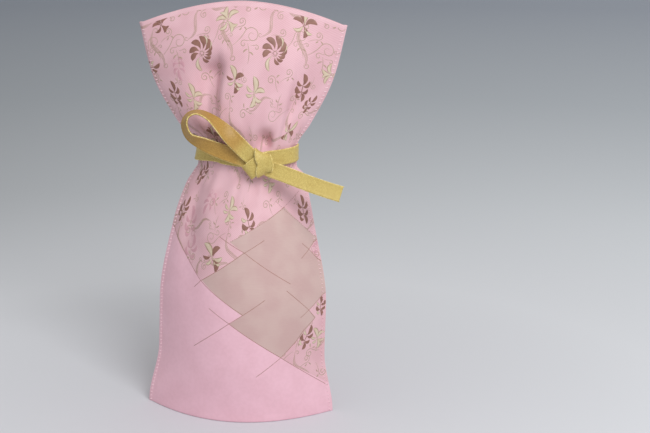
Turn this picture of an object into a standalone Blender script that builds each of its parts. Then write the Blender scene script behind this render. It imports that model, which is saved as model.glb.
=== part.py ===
"""A bag for one bottle of sake, in stiff brocade.

The pouch stands on a flat, lens-shaped foot. A flat cord, tied in a half bow, draws it in at the
bottle's neck, and above the cord it opens like a fan. Front, base and back are one length of cloth,
stitched along both side edges.

Metres, +Z up. The front faces -Y. The origin is on the floor under the middle of the bag.
"""

import math
from dataclasses import dataclass

import bmesh
import bpy
from mathutils import Vector

# Heights above the floor, along the side seams
HEM_HEIGHT = 0.055
BODY_HEIGHT = 0.100
WAIST_HEIGHT = 0.228

# Distances below and above the waist, along the side seams, and how much higher the top's middle is
SHOULDER_DROP = 0.058
UNDER_WAIST_DROP = 0.023
GATHER_RISE = 0.030
FAN_RISE = 0.071
CORNER_RISE = 0.115
TOP_CROWN = 0.0185

# Widths from side edge to side edge
FOOT_WIDTH = 0.1672
HEM_WIDTH = 0.1492
BODY_WIDTH = 0.1486
SHOULDER_WIDTH = 0.1244
UNDER_WAIST_WIDTH = 0.1060
WAIST_WIDTH = 0.0894
GATHER_WIDTH = 0.1146
FAN_WIDTH = 0.1564
TOP_WIDTH = 0.1776

# Depths from front to back, over the cloth
FOOT_DEPTH = 0.080
HEM_DEPTH = 0.091
BODY_DEPTH = 0.095
SHOULDER_DEPTH = 0.080
UNDER_WAIST_DEPTH = 0.058
WAIST_DEPTH = 0.047
GATHER_DEPTH = 0.055
FAN_DEPTH = 0.046

# How far the middle of the bag stands to the right of the origin
FOOT_SHIFT = -0.0020
WAIST_SHIFT = 0.0045

# Cloth, side seams and mouth
CLOTH_THICKNESS = 0.0016
SEAM_ALLOWANCE = 0.0030
WAIST_SEAM_ALLOWANCE = 0.0012
SEAM_CORNER = 0.0006
MOUTH_GAP = 0.0080

# Flat cord
CORD_WIDTH = 0.0130
CORD_THICKNESS = 0.0018
CORD_CLEARANCE = 0.0003

# Knot, a rounded block with its middle right of the bag's middle and above the waist
KNOT_WIDTH = 0.0240
KNOT_DEPTH = 0.0105
KNOT_HEIGHT = 0.0190
KNOT_SIDE = 0.0125
KNOT_RISE = 0.0020
KNOT_TURN = math.radians(14)
KNOT_ROUNDING = 0.0040

# Fullness of a section, the power of its outline: 1 is a lens and 0.5 is an oval
LENS = 1.0
BODY_FULLNESS = 0.95
SHOULDER_FULLNESS = 0.90
GATHER_FULLNESS = 0.80
WAIST_FULLNESS = 0.62
BAND_FULLNESS = 0.45
CROWN_POWER = 1.8

# How finely the cloth and the cord are drawn
ACROSS = 32
ROW_PITCH = 0.0150
WAIST_ROW_PITCH = 0.0080
BAND_SIDES = 72
CORD_STEPS = 4
SHARP_EDGE = math.radians(50)

# Colours as linear RGB
PINK = (0.70, 0.43, 0.49, 1.0)
GOLD = (0.55, 0.40, 0.12, 1.0)


@dataclass
class Station:
    """One level of the bag, with its size, its section's fullness and its seam allowance there."""

    height: float
    width: float
    depth: float
    shift: float
    fullness: float
    allowance: float


@dataclass
class Valley:
    """A soft fold pressed into a panel.

    Across and spread are shares of the way from the panel's middle to a seam, rise is metres above
    the waist, press is the share of the panel's bulge that the fold takes away, and lean is how far
    the fold moves across for each metre upward.
    """

    across: float
    rise: float
    spread: float
    reach_up: float
    reach_down: float
    press: float
    lean: float = 0.0


UNDER_CORD = WAIST_HEIGHT - CORD_WIDTH / 2
OVER_CORD = WAIST_HEIGHT + CORD_WIDTH / 2
CORNER_HEIGHT = WAIST_HEIGHT + CORNER_RISE
TOP_DEPTH = MOUTH_GAP + 2 * CLOTH_THICKNESS

STATIONS = [
    Station(0.0, FOOT_WIDTH, FOOT_DEPTH, FOOT_SHIFT, LENS, SEAM_ALLOWANCE),
    Station(HEM_HEIGHT, HEM_WIDTH, HEM_DEPTH, FOOT_SHIFT / 2, BODY_FULLNESS, SEAM_ALLOWANCE),
    Station(BODY_HEIGHT, BODY_WIDTH, BODY_DEPTH, 0.0, BODY_FULLNESS, SEAM_ALLOWANCE),
    Station(
        WAIST_HEIGHT - SHOULDER_DROP,
        SHOULDER_WIDTH,
        SHOULDER_DEPTH,
        WAIST_SHIFT / 4,
        SHOULDER_FULLNESS,
        SEAM_ALLOWANCE,
    ),
    Station(
        WAIST_HEIGHT - UNDER_WAIST_DROP,
        UNDER_WAIST_WIDTH,
        UNDER_WAIST_DEPTH,
        WAIST_SHIFT / 2,
        GATHER_FULLNESS,
        SEAM_ALLOWANCE,
    ),
    Station(UNDER_CORD, WAIST_WIDTH, WAIST_DEPTH, WAIST_SHIFT, WAIST_FULLNESS, WAIST_SEAM_ALLOWANCE),
    Station(OVER_CORD, WAIST_WIDTH, WAIST_DEPTH, WAIST_SHIFT, WAIST_FULLNESS, WAIST_SEAM_ALLOWANCE),
    Station(
        WAIST_HEIGHT + GATHER_RISE,
        GATHER_WIDTH,
        GATHER_DEPTH,
        WAIST_SHIFT / 4,
        GATHER_FULLNESS,
        SEAM_ALLOWANCE,
    ),
    Station(
        WAIST_HEIGHT + FAN_RISE, FAN_WIDTH, FAN_DEPTH, 0.0, SHOULDER_FULLNESS, SEAM_ALLOWANCE
    ),
    Station(CORNER_HEIGHT, TOP_WIDTH, TOP_DEPTH, 0.0, SHOULDER_FULLNESS, SEAM_ALLOWANCE),
]

# Front folds: the deep dimple at the upper left with its crease down to the cord, the hollow above
# the knot, the upright fold at the right, and the gathers under the cord
FRONT_VALLEYS = [
    Valley(-0.28, 0.078, 0.17, 0.020, 0.028, 0.38, lean=3.1),
    Valley(-0.42, 0.040, 0.13, 0.030, 0.022, 0.21, lean=3.1),
    Valley(0.50, 0.021, 0.17, 0.012, 0.012, 0.27),
    Valley(0.66, 0.055, 0.12, 0.020, 0.026, 0.20),
    Valley(-0.78, -0.032, 0.16, 0.018, 0.034, 0.30),
    Valley(-0.30, -0.020, 0.13, 0.012, 0.016, 0.08),
    Valley(0.52, -0.023, 0.14, 0.014, 0.020, 0.13),
]
BACK_VALLEYS = [
    Valley(-0.55, 0.026, 0.16, 0.034, 0.014, 0.24),
    Valley(-0.05, 0.022, 0.15, 0.040, 0.012, 0.22),
    Valley(0.50, 0.028, 0.16, 0.030, 0.014, 0.24),
    Valley(-0.32, -0.025, 0.16, 0.014, 0.024, 0.13),
    Valley(0.30, -0.027, 0.16, 0.014, 0.028, 0.15),
]


def start_empty():
    """Take the objects of the startup scene away."""
    for obj in list(bpy.data.objects):
        bpy.data.objects.remove(obj, do_unlink=True)


def new_collection(name):
    """A collection linked to the scene."""
    collection = bpy.data.collections.new(name)
    bpy.context.scene.collection.children.link(collection)
    return collection


def material(name, colour, roughness, metallic):
    """A Principled material with one colour."""
    made = bpy.data.materials.new(name)
    made.use_nodes = True
    shader = made.node_tree.nodes["Principled BSDF"]
    shader.inputs["Base Color"].default_value = colour
    shader.inputs["Roughness"].default_value = roughness
    shader.inputs["Metallic"].default_value = metallic
    return made


def mesh_object(name, bm, collection):
    """An object from a bmesh, with its faces turned outward and shaded smooth."""
    bmesh.ops.recalc_face_normals(bm, faces=bm.faces)
    mesh = bpy.data.meshes.new(name)
    bm.to_mesh(mesh)
    bm.free()
    mesh.shade_smooth()
    mesh.set_sharp_from_angle(angle=SHARP_EDGE)
    obj = bpy.data.objects.new(name, mesh)
    collection.objects.link(obj)
    return obj


def slope(before, here, after, field):
    """The slope of one field at a station, flat where the field turns, so that no curve overshoots."""
    low = (getattr(here, field) - getattr(before, field)) / (here.height - before.height)
    high = (getattr(after, field) - getattr(here, field)) / (after.height - here.height)
    if low * high <= 0:
        return 0.0
    return 2 * low * high / (low + high)


def profile(height, field):
    """One field of the bag's profile at any height, on a smooth curve through the stations."""
    last = len(STATIONS) - 1
    index = max(i for i in range(last) if i == 0 or STATIONS[i].height <= height)
    low, high = STATIONS[index], STATIONS[index + 1]
    span = high.height - low.height
    start = slope(STATIONS[index - 1], low, high, field) if index > 0 else 0.0
    secant = (getattr(high, field) - getattr(low, field)) / span
    end = slope(low, high, STATIONS[index + 2], field) if index + 1 < last else secant
    t = (height - low.height) / span
    return (
        (2 * t**3 - 3 * t**2 + 1) * getattr(low, field)
        + (t**3 - 2 * t**2 + t) * span * start
        + (3 * t**2 - 2 * t**3) * getattr(high, field)
        + (t**3 - t**2) * span * end
    )


def smooth_step(low, high, value):
    """0 below low, 1 above high and a smooth rise between."""
    t = min(max((value - low) / (high - low), 0.0), 1.0)
    return t * t * (3 - 2 * t)


def crown(height, across):
    """How much higher the cloth lies than the side seams at the same row: the fan's round top."""
    opened = smooth_step(WAIST_HEIGHT, CORNER_HEIGHT, height)
    return TOP_CROWN * opened * (1 - abs(across) ** CROWN_POWER)


def fold_press(valleys, height, across):
    """The share of a panel's bulge that its folds take away. The cord holds the cloth smooth."""
    freed = smooth_step(CORD_WIDTH / 2, CORD_WIDTH, abs(height - WAIST_HEIGHT))
    total = 0.0
    for valley in valleys:
        above = height - WAIST_HEIGHT - valley.rise
        reach = valley.reach_up if above > 0 else valley.reach_down
        aside = (across - valley.across - valley.lean * above) / valley.spread
        total += valley.press * math.exp(-(aside**2) - (above / reach) ** 2)
    return total * freed


def panel_places():
    """Places across a panel from seam to seam, -1 to 1."""
    return [2 * i / ACROSS - 1 for i in range(ACROSS + 1)]


def spread_across(across, half_width, half_depth):
    """A place across the panel as a share of its half width, nearly even along the section's arc."""
    turn = math.atan(2 * half_depth / half_width)
    return math.sin(turn * across) / math.sin(turn)


def panel(height, valleys, edge, stitch, seam, bulge):
    """Points over one face of a panel at a height, as x, distance from the seam plane, and z.

    The edge and the stitches are distances from the middle, and the seam is a pair of distances
    from the seam plane, at the edge and at the stitches.
    """
    half_width = profile(height, "width") / 2
    half_depth = profile(height, "depth") / 2
    shift = profile(height, "shift")
    fullness = profile(height, "fullness")
    points = [(shift - edge, seam[0], height)]
    for across in panel_places():
        share = spread_across(across, half_width, half_depth)
        lens = max(1 - share**2, 0.0) ** fullness
        out = seam[1] + bulge * lens * (1 - fold_press(valleys, height, across))
        points.append((shift + stitch * share, out, height + crown(height, across)))
    points.append((shift + edge, seam[0], height))
    return points


def outer_panel(height, valleys):
    """Points over one panel's outer face, with the flat seam allowance at each side."""
    edge = profile(height, "width") / 2
    stitch = edge - profile(height, "allowance")
    bulge = profile(height, "depth") / 2 - CLOTH_THICKNESS
    return panel(height, valleys, edge, stitch, (CLOTH_THICKNESS, CLOTH_THICKNESS), bulge)


def inner_panel(height, valleys):
    """Points over one panel's inner face, one for each outer point and a cloth's thickness inside."""
    stitch = profile(height, "width") / 2 - profile(height, "allowance") - CLOTH_THICKNESS
    bulge = profile(height, "depth") / 2 - CLOTH_THICKNESS - SEAM_CORNER
    return panel(height, valleys, stitch, stitch, (SEAM_CORNER / 3, SEAM_CORNER), bulge)


def ring(panel, height):
    """One closed ring of the bag: the front panel left to right, then the back panel right to left."""
    front = [Vector((x, -out, z)) for x, out, z in panel(height, FRONT_VALLEYS)]
    back = [Vector((x, out, z)) for x, out, z in panel(height, BACK_VALLEYS)]
    return front + back[::-1]


def row_heights(lowest):
    """Heights of the rows: one at each station, and others between, closer together at the waist."""
    heights = [lowest]
    for low, high in zip(STATIONS, STATIONS[1:]):
        near_waist = min(abs(low.height - WAIST_HEIGHT), abs(high.height - WAIST_HEIGHT)) < CORD_WIDTH
        rows = math.ceil((high.height - low.height) / (WAIST_ROW_PITCH if near_waist else ROW_PITCH))
        heights += [low.height + (high.height - low.height) * k / rows for k in range(1, rows + 1)]
    return heights


def loft(rings):
    """A closed body from rings that follow each other, capped at its first and last ring."""
    bm = bmesh.new()
    levels = [[bm.verts.new(point) for point in points] for points in rings]
    count = len(levels[0])
    for low, high in zip(levels, levels[1:]):
        for i in range(count):
            after = (i + 1) % count
            bm.faces.new((low[i], low[after], high[after], high[i]))
    bm.faces.new(reversed(levels[0]))
    bm.faces.new(levels[-1])
    return bm


def make_bag_cloth(collection):
    """The pouch: up its outer face from the foot, over the mouth's edge and down its inner face."""
    outside = [ring(outer_panel, height) for height in row_heights(0.0)]
    inside = [ring(inner_panel, height) for height in row_heights(CLOTH_THICKNESS)]
    bag = mesh_object("bag_cloth", loft(outside + inside[::-1]), collection)
    bag.data.materials.append(material("pink_brocade", PINK, 0.62, 0.0))
    return bag


def cord_section(middle, across, out):
    """The four corners of the flat cord's section, from its middle, its width and its outer side."""
    half_width = across.normalized() * CORD_WIDTH / 2
    half_thick = out.normalized() * CORD_THICKNESS / 2
    return [
        middle - half_width - half_thick,
        middle + half_width - half_thick,
        middle + half_width + half_thick,
        middle - half_width + half_thick,
    ]


def between(points, index, t):
    """A point on the smooth curve through chosen points, after the one at index."""
    before = points[max(index - 1, 0)]
    low, high = points[index], points[index + 1]
    after = points[min(index + 2, len(points) - 1)]
    return (
        low * (2 * t**3 - 3 * t**2 + 1)
        + (high - before) / 2 * (t**3 - 2 * t**2 + t)
        + high * (3 * t**2 - 2 * t**3)
        + (after - low) / 2 * (t**3 - t**2)
    )


def make_cord_run(name, places, collection):
    """A length of the flat cord along chosen places, each with the direction of the cord's width."""
    middles = [place for place, _ in places]
    widths = [width.normalized() for _, width in places]
    steps = [(i, k / CORD_STEPS) for i in range(len(places) - 1) for k in range(CORD_STEPS)]
    steps.append((len(places) - 2, 1.0))
    sections = []
    for index, t in steps:
        along = between(middles, index, min(t + 0.05, 1.0)) - between(middles, index, max(t - 0.05, 0.0))
        width = between(widths, index, t)
        width -= along * width.dot(along) / along.length_squared
        sections.append(cord_section(between(middles, index, t), width, along.cross(width)))
    return mesh_object(name, loft(sections), collection)


def knot_middle():
    """The middle of the knot. Its back is in the middle of the band's thickness."""
    front = WAIST_DEPTH / 2 + CORD_CLEARANCE + CORD_THICKNESS / 2
    return Vector((WAIST_SHIFT + KNOT_SIDE, -front - KNOT_DEPTH / 2, WAIST_HEIGHT + KNOT_RISE))


def signed_power(value, power):
    """A power of a value's size, with the value's own sign."""
    return math.copysign(abs(value) ** power, value)


def make_band(collection):
    """The cord's turn around the neck, a closed ring that follows the cloth beneath it."""
    half_width = WAIST_WIDTH / 2 + CORD_CLEARANCE + CORD_THICKNESS / 2
    half_depth = WAIST_DEPTH / 2 + CORD_CLEARANCE + CORD_THICKNESS / 2
    power = 2 * BAND_FULLNESS
    bm = bmesh.new()
    sections = []
    for i in range(BAND_SIDES):
        angle = 2 * math.pi * i / BAND_SIDES
        side = half_width * signed_power(math.cos(angle), power)
        front = half_depth * signed_power(math.sin(angle), power)
        middle = Vector((WAIST_SHIFT + side, front, WAIST_HEIGHT))
        out = Vector((math.cos(angle) / half_width, math.sin(angle) / half_depth, 0.0))
        corners = cord_section(middle, Vector((0, 0, 1)), out)
        sections.append([bm.verts.new(corner) for corner in corners])
    for low, high in zip(sections, sections[1:] + sections[:1]):
        for k in range(4):
            after = (k + 1) % 4
            bm.faces.new((low[k], low[after], high[after], high[k]))
    return mesh_object("tie_cord", bm, collection)


def make_knot(collection):
    """The knot as a rounded block."""
    bpy.ops.mesh.primitive_cube_add(size=1.0, location=knot_middle(), rotation=(0, KNOT_TURN, 0))
    knot = bpy.context.object
    knot.name = "knot_block"
    for vertex in knot.data.vertices:
        vertex.co *= Vector((KNOT_WIDTH, KNOT_DEPTH, KNOT_HEIGHT))
    rounding = knot.modifiers.new("rounding", "BEVEL")
    rounding.width = KNOT_ROUNDING
    rounding.segments = 3
    move_to(knot, collection)
    return knot


def move_to(obj, collection):
    """Link an object to one collection alone."""
    for other in list(obj.users_collection):
        other.objects.unlink(obj)
    collection.objects.link(obj)


def from_knot(*places):
    """Places given in millimetres from the middle of the knot, each with the cord's width direction."""
    start = knot_middle()
    return [(start + Vector(place) / 1000, Vector(width)) for place, width in places]


def make_tie_cord(collection, tools):
    """The flat cord: the band around the neck, joined to its knot, its loop and its tail."""
    band = make_band(collection)
    loop = make_cord_run(
        "loop_run",
        from_knot(
            ((4, -1.0, -1), (7, 0, 7)),
            ((-5, -2.0, 6), (7, 0, 7)),
            ((-20.5, -5.0, 21), (7, -3, 6)),
            ((-31, -5.5, 31), (5, -8, 4)),
            ((-39, -5.0, 38.5), (2, -12, 2)),
            ((-49, -4.5, 41.5), (0, -12, 0)),
            ((-58, -4.0, 39), (0, -12, 1)),
            ((-61, -3.0, 31.5), (-2, -12, 0)),
            ((-57, -2.0, 21), (-5, -10, -3)),
            ((-45, -0.5, 15), (-2, -5, -12)),
            ((-31, 0.5, 9.5), (-2, 0, -12)),
            ((-15.5, 1.0, 4), (-2, 0, -12)),
            ((-3, 1.5, 0), (-2, 0, -12)),
        ),
        tools,
    )
    tail = make_cord_run(
        "tail_run",
        from_knot(
            ((-3, -0.5, 1), (3, 0, 12)),
            ((6, -1.5, -2.5), (3, 0, 12)),
            ((42, -3.5, -15), (3, 0, 12)),
            ((72, -5.0, -23), (3, 0, 12)),
        ),
        tools,
    )
    for piece in (loop, tail, make_knot(tools)):
        piece.hide_render = True
        piece.display_type = "WIRE"
        join = band.modifiers.new("join_" + piece.name, "BOOLEAN")
        join.operation = "UNION"
        join.solver = "EXACT"
        join.object = piece
    band.data.materials.append(material("gold_cord", GOLD, 0.5, 0.0))
    return band


def main():
    """Build the bag and its cord."""
    start_empty()
    bag = new_collection("sake_bottle_bag")
    tools = new_collection("cutters")
    make_bag_cloth(bag)
    make_tie_cord(bag, tools)


main()
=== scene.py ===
"""Looks of the sake bottle bag: brocade, woven pattern, stitched edges and flat cord.

Metres, +Z up. The front faces -Y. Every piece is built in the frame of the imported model.
"""

import logging
import math
from dataclasses import dataclass, field, replace
from enum import Enum
from functools import partial
from typing import Callable, Sequence

import bmesh
import bpy
import numpy as np
from mathutils import Matrix, Vector


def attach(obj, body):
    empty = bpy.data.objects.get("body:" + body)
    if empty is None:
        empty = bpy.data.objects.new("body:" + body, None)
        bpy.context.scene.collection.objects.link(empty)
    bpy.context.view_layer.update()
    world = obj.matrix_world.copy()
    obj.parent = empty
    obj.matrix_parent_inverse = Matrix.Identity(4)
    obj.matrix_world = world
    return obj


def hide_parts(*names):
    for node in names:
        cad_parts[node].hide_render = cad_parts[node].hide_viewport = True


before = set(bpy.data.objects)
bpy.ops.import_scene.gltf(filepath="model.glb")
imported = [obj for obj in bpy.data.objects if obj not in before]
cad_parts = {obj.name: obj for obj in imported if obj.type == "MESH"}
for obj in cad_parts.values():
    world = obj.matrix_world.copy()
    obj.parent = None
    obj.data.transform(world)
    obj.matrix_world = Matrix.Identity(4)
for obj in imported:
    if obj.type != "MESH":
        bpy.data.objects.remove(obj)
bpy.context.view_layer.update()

IMAGE_WIDTH = 650
MM = 0.001
PER_METRE = 1000
LOG = logging.getLogger("sake_bottle_bag")

Object = bpy.types.Object
Socket = bpy.types.NodeSocket
NodeTree = bpy.types.NodeTree
Material = bpy.types.Material
Node = bpy.types.Node
Array = np.ndarray
Place = tuple[float, float, float]
Spot = tuple[float, float]
Colour = tuple[float, float, float, float]


def srgb(red: int, green: int, blue: int) -> Colour:
    """A colour written as 0 to 255 in sRGB, as linear RGBA.

    Args:
        red: its red.
        green: its green.
        blue: its blue.

    Returns:
        The colour.
    """
    shares = (value / 255 for value in (red, green, blue))
    linear = (s / 12.92 if s <= 0.04045 else ((s + 0.055) / 1.055) ** 2.4 for s in shares)
    return (*linear, 1.0)


def smooth_step(low: float, high: float, value: Array) -> Array:
    """0 below low, 1 above high and a smooth rise between."""
    t = np.clip((value - low) / (high - low), 0.0, 1.0)
    return t * t * (3 - 2 * t)


def unit(vectors: Array) -> Array:
    """Vectors, one a row, each at length 1."""
    return vectors / np.maximum(np.linalg.norm(vectors, axis=1)[:, None], 1e-9)


def left_of(along: Array) -> Array:
    """Flat directions a quarter turn to the left of others, one a row."""
    return np.stack([-along[:, 1], along[:, 0]], -1)


def lengths(line: Array) -> Array:
    """How far along a line each of its points lies."""
    steps = np.linalg.norm(np.diff(line, axis=0), axis=1)
    return np.concatenate([[0.0], np.cumsum(steps)])


def cubic(
    t: Array, span: Array, ends: Sequence[Array], slopes: Sequence[Array]
) -> Array:
    """A cubic curve between two values.

    Args:
        t: where along it, 0 to 1.
        span: the distance that it covers.
        ends: its values at 0 and 1.
        slopes: its slopes there.

    Returns:
        Its values at t.
    """
    return (
        (2 * t**3 - 3 * t**2 + 1) * ends[0]
        + (t**3 - 2 * t**2 + t) * span * slopes[0]
        + (3 * t**2 - 2 * t**3) * ends[1]
        + (t**3 - t**2) * span * slopes[1]
    )


KNOT_POWER = 0.75


def smooth_line(points: Array, step: float) -> Array:
    """A smooth line through points, at nearly even steps.

    Args:
        points: rows of x, y, z and anything else to carry along.
        step: the distance between the line's points.

    Returns:
        The rows of the line.
    """
    before = np.concatenate([points[:1], points[:-1]])
    after = np.concatenate([points[1:], points[-1:]])
    gaps = np.maximum(np.linalg.norm(np.diff(points[:, :3], axis=0), axis=1), 1e-6)
    knots = np.concatenate([[0.0], np.cumsum(gaps**KNOT_POWER)])
    reach = np.concatenate([[knots[0]], knots[:-1]]), np.concatenate([knots[1:], [knots[-1]]])
    slopes = (after - before) / (reach[1] - reach[0])[:, None]
    rows = []
    for i, gap in enumerate(gaps):
        count = max(1, round(gap / step))
        t = (np.arange(count) / count)[:, None]
        ends = points[i : i + 2]
        rows.append(cubic(t, knots[i + 1] - knots[i], ends, slopes[i : i + 2]))
    return np.concatenate([*rows, points[-1:]])


def scene_object(name: str, data: bpy.types.ID) -> Object:
    """A new object of a mesh, a lamp or a camera, linked to the scene.

    Args:
        name: the object's name.
        data: what it holds.

    Returns:
        The object.
    """
    obj = bpy.data.objects.new(name, data)
    bpy.context.scene.collection.objects.link(obj)
    return obj


def mesh_object(
    name: str,
    points: Array,
    faces: Sequence[Sequence[int]],
    edges: Sequence[tuple[int, int]] = (),
    smooth: bool = True,
) -> Object:
    """Make an object from points, faces and loose edges.

    Args:
        name: the object's name, and its mesh's.
        points: one row of x, y, z for each vertex.
        faces: the vertex numbers of each face.
        edges: the vertex numbers of each edge that is on no face.
        smooth: whether its faces are shaded smooth.

    Returns:
        The object, linked to the scene.
    """
    mesh = bpy.data.meshes.new(name)
    rows = np.asarray(points, float).tolist()
    mesh.from_pydata(rows, list(edges), [list(face) for face in faces])
    if smooth:
        mesh.shade_smooth()
    return scene_object(name, mesh)


def tube(name: str, rings: Array) -> Object:
    """A closed tube through rings of points, capped at both ends.

    Args:
        name: the object's name.
        rings: the points of each ring, ring after ring.

    Returns:
        The object.
    """
    rows, around = rings.shape[:2]
    start = np.arange(rows - 1)[:, None] * around + np.arange(around)[None, :]
    after = start[:, :1] + (np.arange(around)[None, :] + 1) % around
    quads = np.stack([start, after, after + around, start + around], -1).reshape(-1, 4)
    caps = [list(range(around))[::-1], list(range((rows - 1) * around, rows * around))]
    return mesh_object(name, rings.reshape(-1, 3), [*quads.tolist(), *caps])


def weld(obj: Object, reach: float = 2e-6) -> None:
    """Join an object's doubled vertices and turn its faces outward.

    Args:
        obj: the object.
        reach: how near doubled vertices lie, in metres.
    """
    bm = bmesh.new()
    bm.from_mesh(obj.data)
    bmesh.ops.remove_doubles(bm, verts=bm.verts, dist=reach)
    bmesh.ops.dissolve_degenerate(bm, dist=reach, edges=bm.edges)
    bmesh.ops.recalc_face_normals(bm, faces=bm.faces)
    bm.to_mesh(obj.data)
    bm.free()


def remove(*objects: Object) -> None:
    """Take helper objects out of the file."""
    for obj in objects:
        bpy.data.objects.remove(obj, do_unlink=True)


class Nodes:
    """Adds nodes to one tree and links them."""

    def __init__(self, tree: NodeTree) -> None:
        """Keep the tree that the nodes go in."""
        self.tree = tree

    def set(self, socket: Socket, value: object) -> None:
        """Link an input to a socket, or give it a value of its own.

        Args:
            socket: the input.
            value: what it takes.
        """
        if isinstance(value, Socket):
            self.tree.links.new(value, socket)
        else:
            socket.default_value = value

    def add(self, kind: str, settings: dict | None = None, **inputs: object) -> Node:
        """Add one node.

        Args:
            kind: the node's type name.
            settings: values of the node's own properties.
            inputs: values or sockets for its inputs, by name, with _ for a space, or in0, in1 for
                a place in the list.

        Returns:
            The node.
        """
        node = self.tree.nodes.new(kind)
        for key, value in (settings or {}).items():
            setattr(node, key, value)
        for key, value in inputs.items():
            listed = key[:2] == "in" and key[2:].isdigit()
            self.set(node.inputs[int(key[2:]) if listed else key.replace("_", " ")], value)
        return node

    def run(self, kind: str, operation: str, values: Sequence[object]) -> Socket:
        """The result of one operation on a list of values or sockets.

        Args:
            kind: the node's type name.
            operation: the operation.
            values: what it works on.

        Returns:
            The result.
        """
        inputs = {f"in{i}": value for i, value in enumerate(values)}
        return self.add(kind, {"operation": operation}, **inputs).outputs[0]

    def math(self, operation: str, *values: object) -> Socket:
        """The result of one Math node."""
        return self.run("ShaderNodeMath", operation, values)

    def vector(self, operation: str, *values: object) -> Socket:
        """The vector result of one Vector Math node."""
        return self.run("ShaderNodeVectorMath", operation, values)

    def scale(self, vector: object, factor: object) -> Socket:
        """A vector times a number."""
        settings = {"operation": "SCALE"}
        return self.add("ShaderNodeVectorMath", settings, in0=vector, Scale=factor).outputs[0]

    def total(self, *parts: tuple[object, float]) -> Socket:
        """The sum of values or sockets, each times its weight.

        Args:
            parts: each value with its weight.

        Returns:
            The sum.
        """
        made = self.math("MULTIPLY", *parts[0])
        for value, weight in parts[1:]:
            made = self.math("MULTIPLY_ADD", value, weight, made)
        return made

    def split(self, vector: object) -> tuple[Socket, ...]:
        """The x, y and z of a vector."""
        return tuple(self.add("ShaderNodeSeparateXYZ", Vector=vector).outputs)

    def mix(self, share: object, low: object, high: object) -> Socket:
        """A colour between two, by a share or mask."""
        node = self.add("ShaderNodeMix", {"data_type": "RGBA"}, in0=share, in6=low, in7=high)
        return node.outputs[2]

    def ramp(self, value: object, low: float, high: float) -> Socket:
        """A smooth step of a value from 0 at low to 1 at high.

        Args:
            value: the value.
            low: where it starts to rise.
            high: where it ends.

        Returns:
            The step.
        """
        settings = {"interpolation_type": "SMOOTHSTEP"}
        node = self.add("ShaderNodeMapRange", settings, Value=value, From_Min=low, From_Max=high)
        return node.outputs[0]


class GeometryTree:
    """A Geometry Nodes tree with named inputs. It ends in Realize Instances and Set Material."""

    def __init__(self, name: str, inputs: dict[str, str]) -> None:
        """Start the tree.

        Args:
            name: the tree's name.
            inputs: the kind of each named input, such as Float or Object.
        """
        self.tree = bpy.data.node_groups.new(name, "GeometryNodeTree")
        face = self.tree.interface
        face.new_socket("Geometry", in_out="INPUT", socket_type="NodeSocketGeometry")
        for key, kind in {**inputs, "Finish": "Material"}.items():
            face.new_socket(key, in_out="INPUT", socket_type=f"NodeSocket{kind}")
        face.new_socket("Geometry", in_out="OUTPUT", socket_type="NodeSocketGeometry")
        self.nodes = Nodes(self.tree)
        self.source = self.tree.nodes.new("NodeGroupInput")

    def get(self, name: str) -> Socket:
        """The socket of one named input."""
        return self.source.outputs[name]

    def read(self, name: str, kind: str = "FLOAT") -> Socket:
        """A named attribute."""
        settings = {"data_type": kind}
        return self.nodes.add("GeometryNodeInputNamedAttribute", settings, Name=name).outputs[0]

    def store(self, geometry: Socket, name: str, kind: str, domain: str, value: object) -> Socket:
        """The geometry with a named attribute stored on it.

        Args:
            geometry: the geometry.
            name: the attribute's name.
            kind: its data type.
            domain: what it is stored on.
            value: its value.

        Returns:
            The geometry.
        """
        settings = {"data_type": kind, "domain": domain}
        inputs = {"Geometry": geometry, "Name": name, "Value": value}
        return self.nodes.add("GeometryNodeStoreNamedAttribute", settings, **inputs).outputs[0]

    def finish(self, geometry: Socket) -> None:
        """Realize the instances, set the material and end the tree.

        Args:
            geometry: what the tree has made.
        """
        real = self.nodes.add("GeometryNodeRealizeInstances", Geometry=geometry).outputs[0]
        inputs = {"Geometry": real, "Material": self.get("Finish")}
        made = self.nodes.add("GeometryNodeSetMaterial", **inputs).outputs[0]
        self.nodes.set(self.tree.nodes.new("NodeGroupOutput").inputs[0], made)

    def apply(self, obj: Object, name: str, values: dict[str, object]) -> Object:
        """Run the tree on an object and keep the result as a plain mesh.

        Args:
            obj: the object that the tree works on. It is removed.
            name: the result's name.
            values: a value for each named input.

        Returns:
            The new object, at the origin.
        """
        modifier = obj.modifiers.new(self.tree.name, "NODES")
        modifier.node_group = self.tree
        for item in self.tree.interface.items_tree:
            if item.in_out == "INPUT" and item.name in values:
                modifier[item.identifier] = values[item.name]
        obj.update_tag()
        graph = bpy.context.evaluated_depsgraph_get()
        mesh = bpy.data.meshes.new_from_object(obj.evaluated_get(graph))
        mesh.name = name
        made = scene_object(name, mesh)
        remove(obj)
        return made


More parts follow.
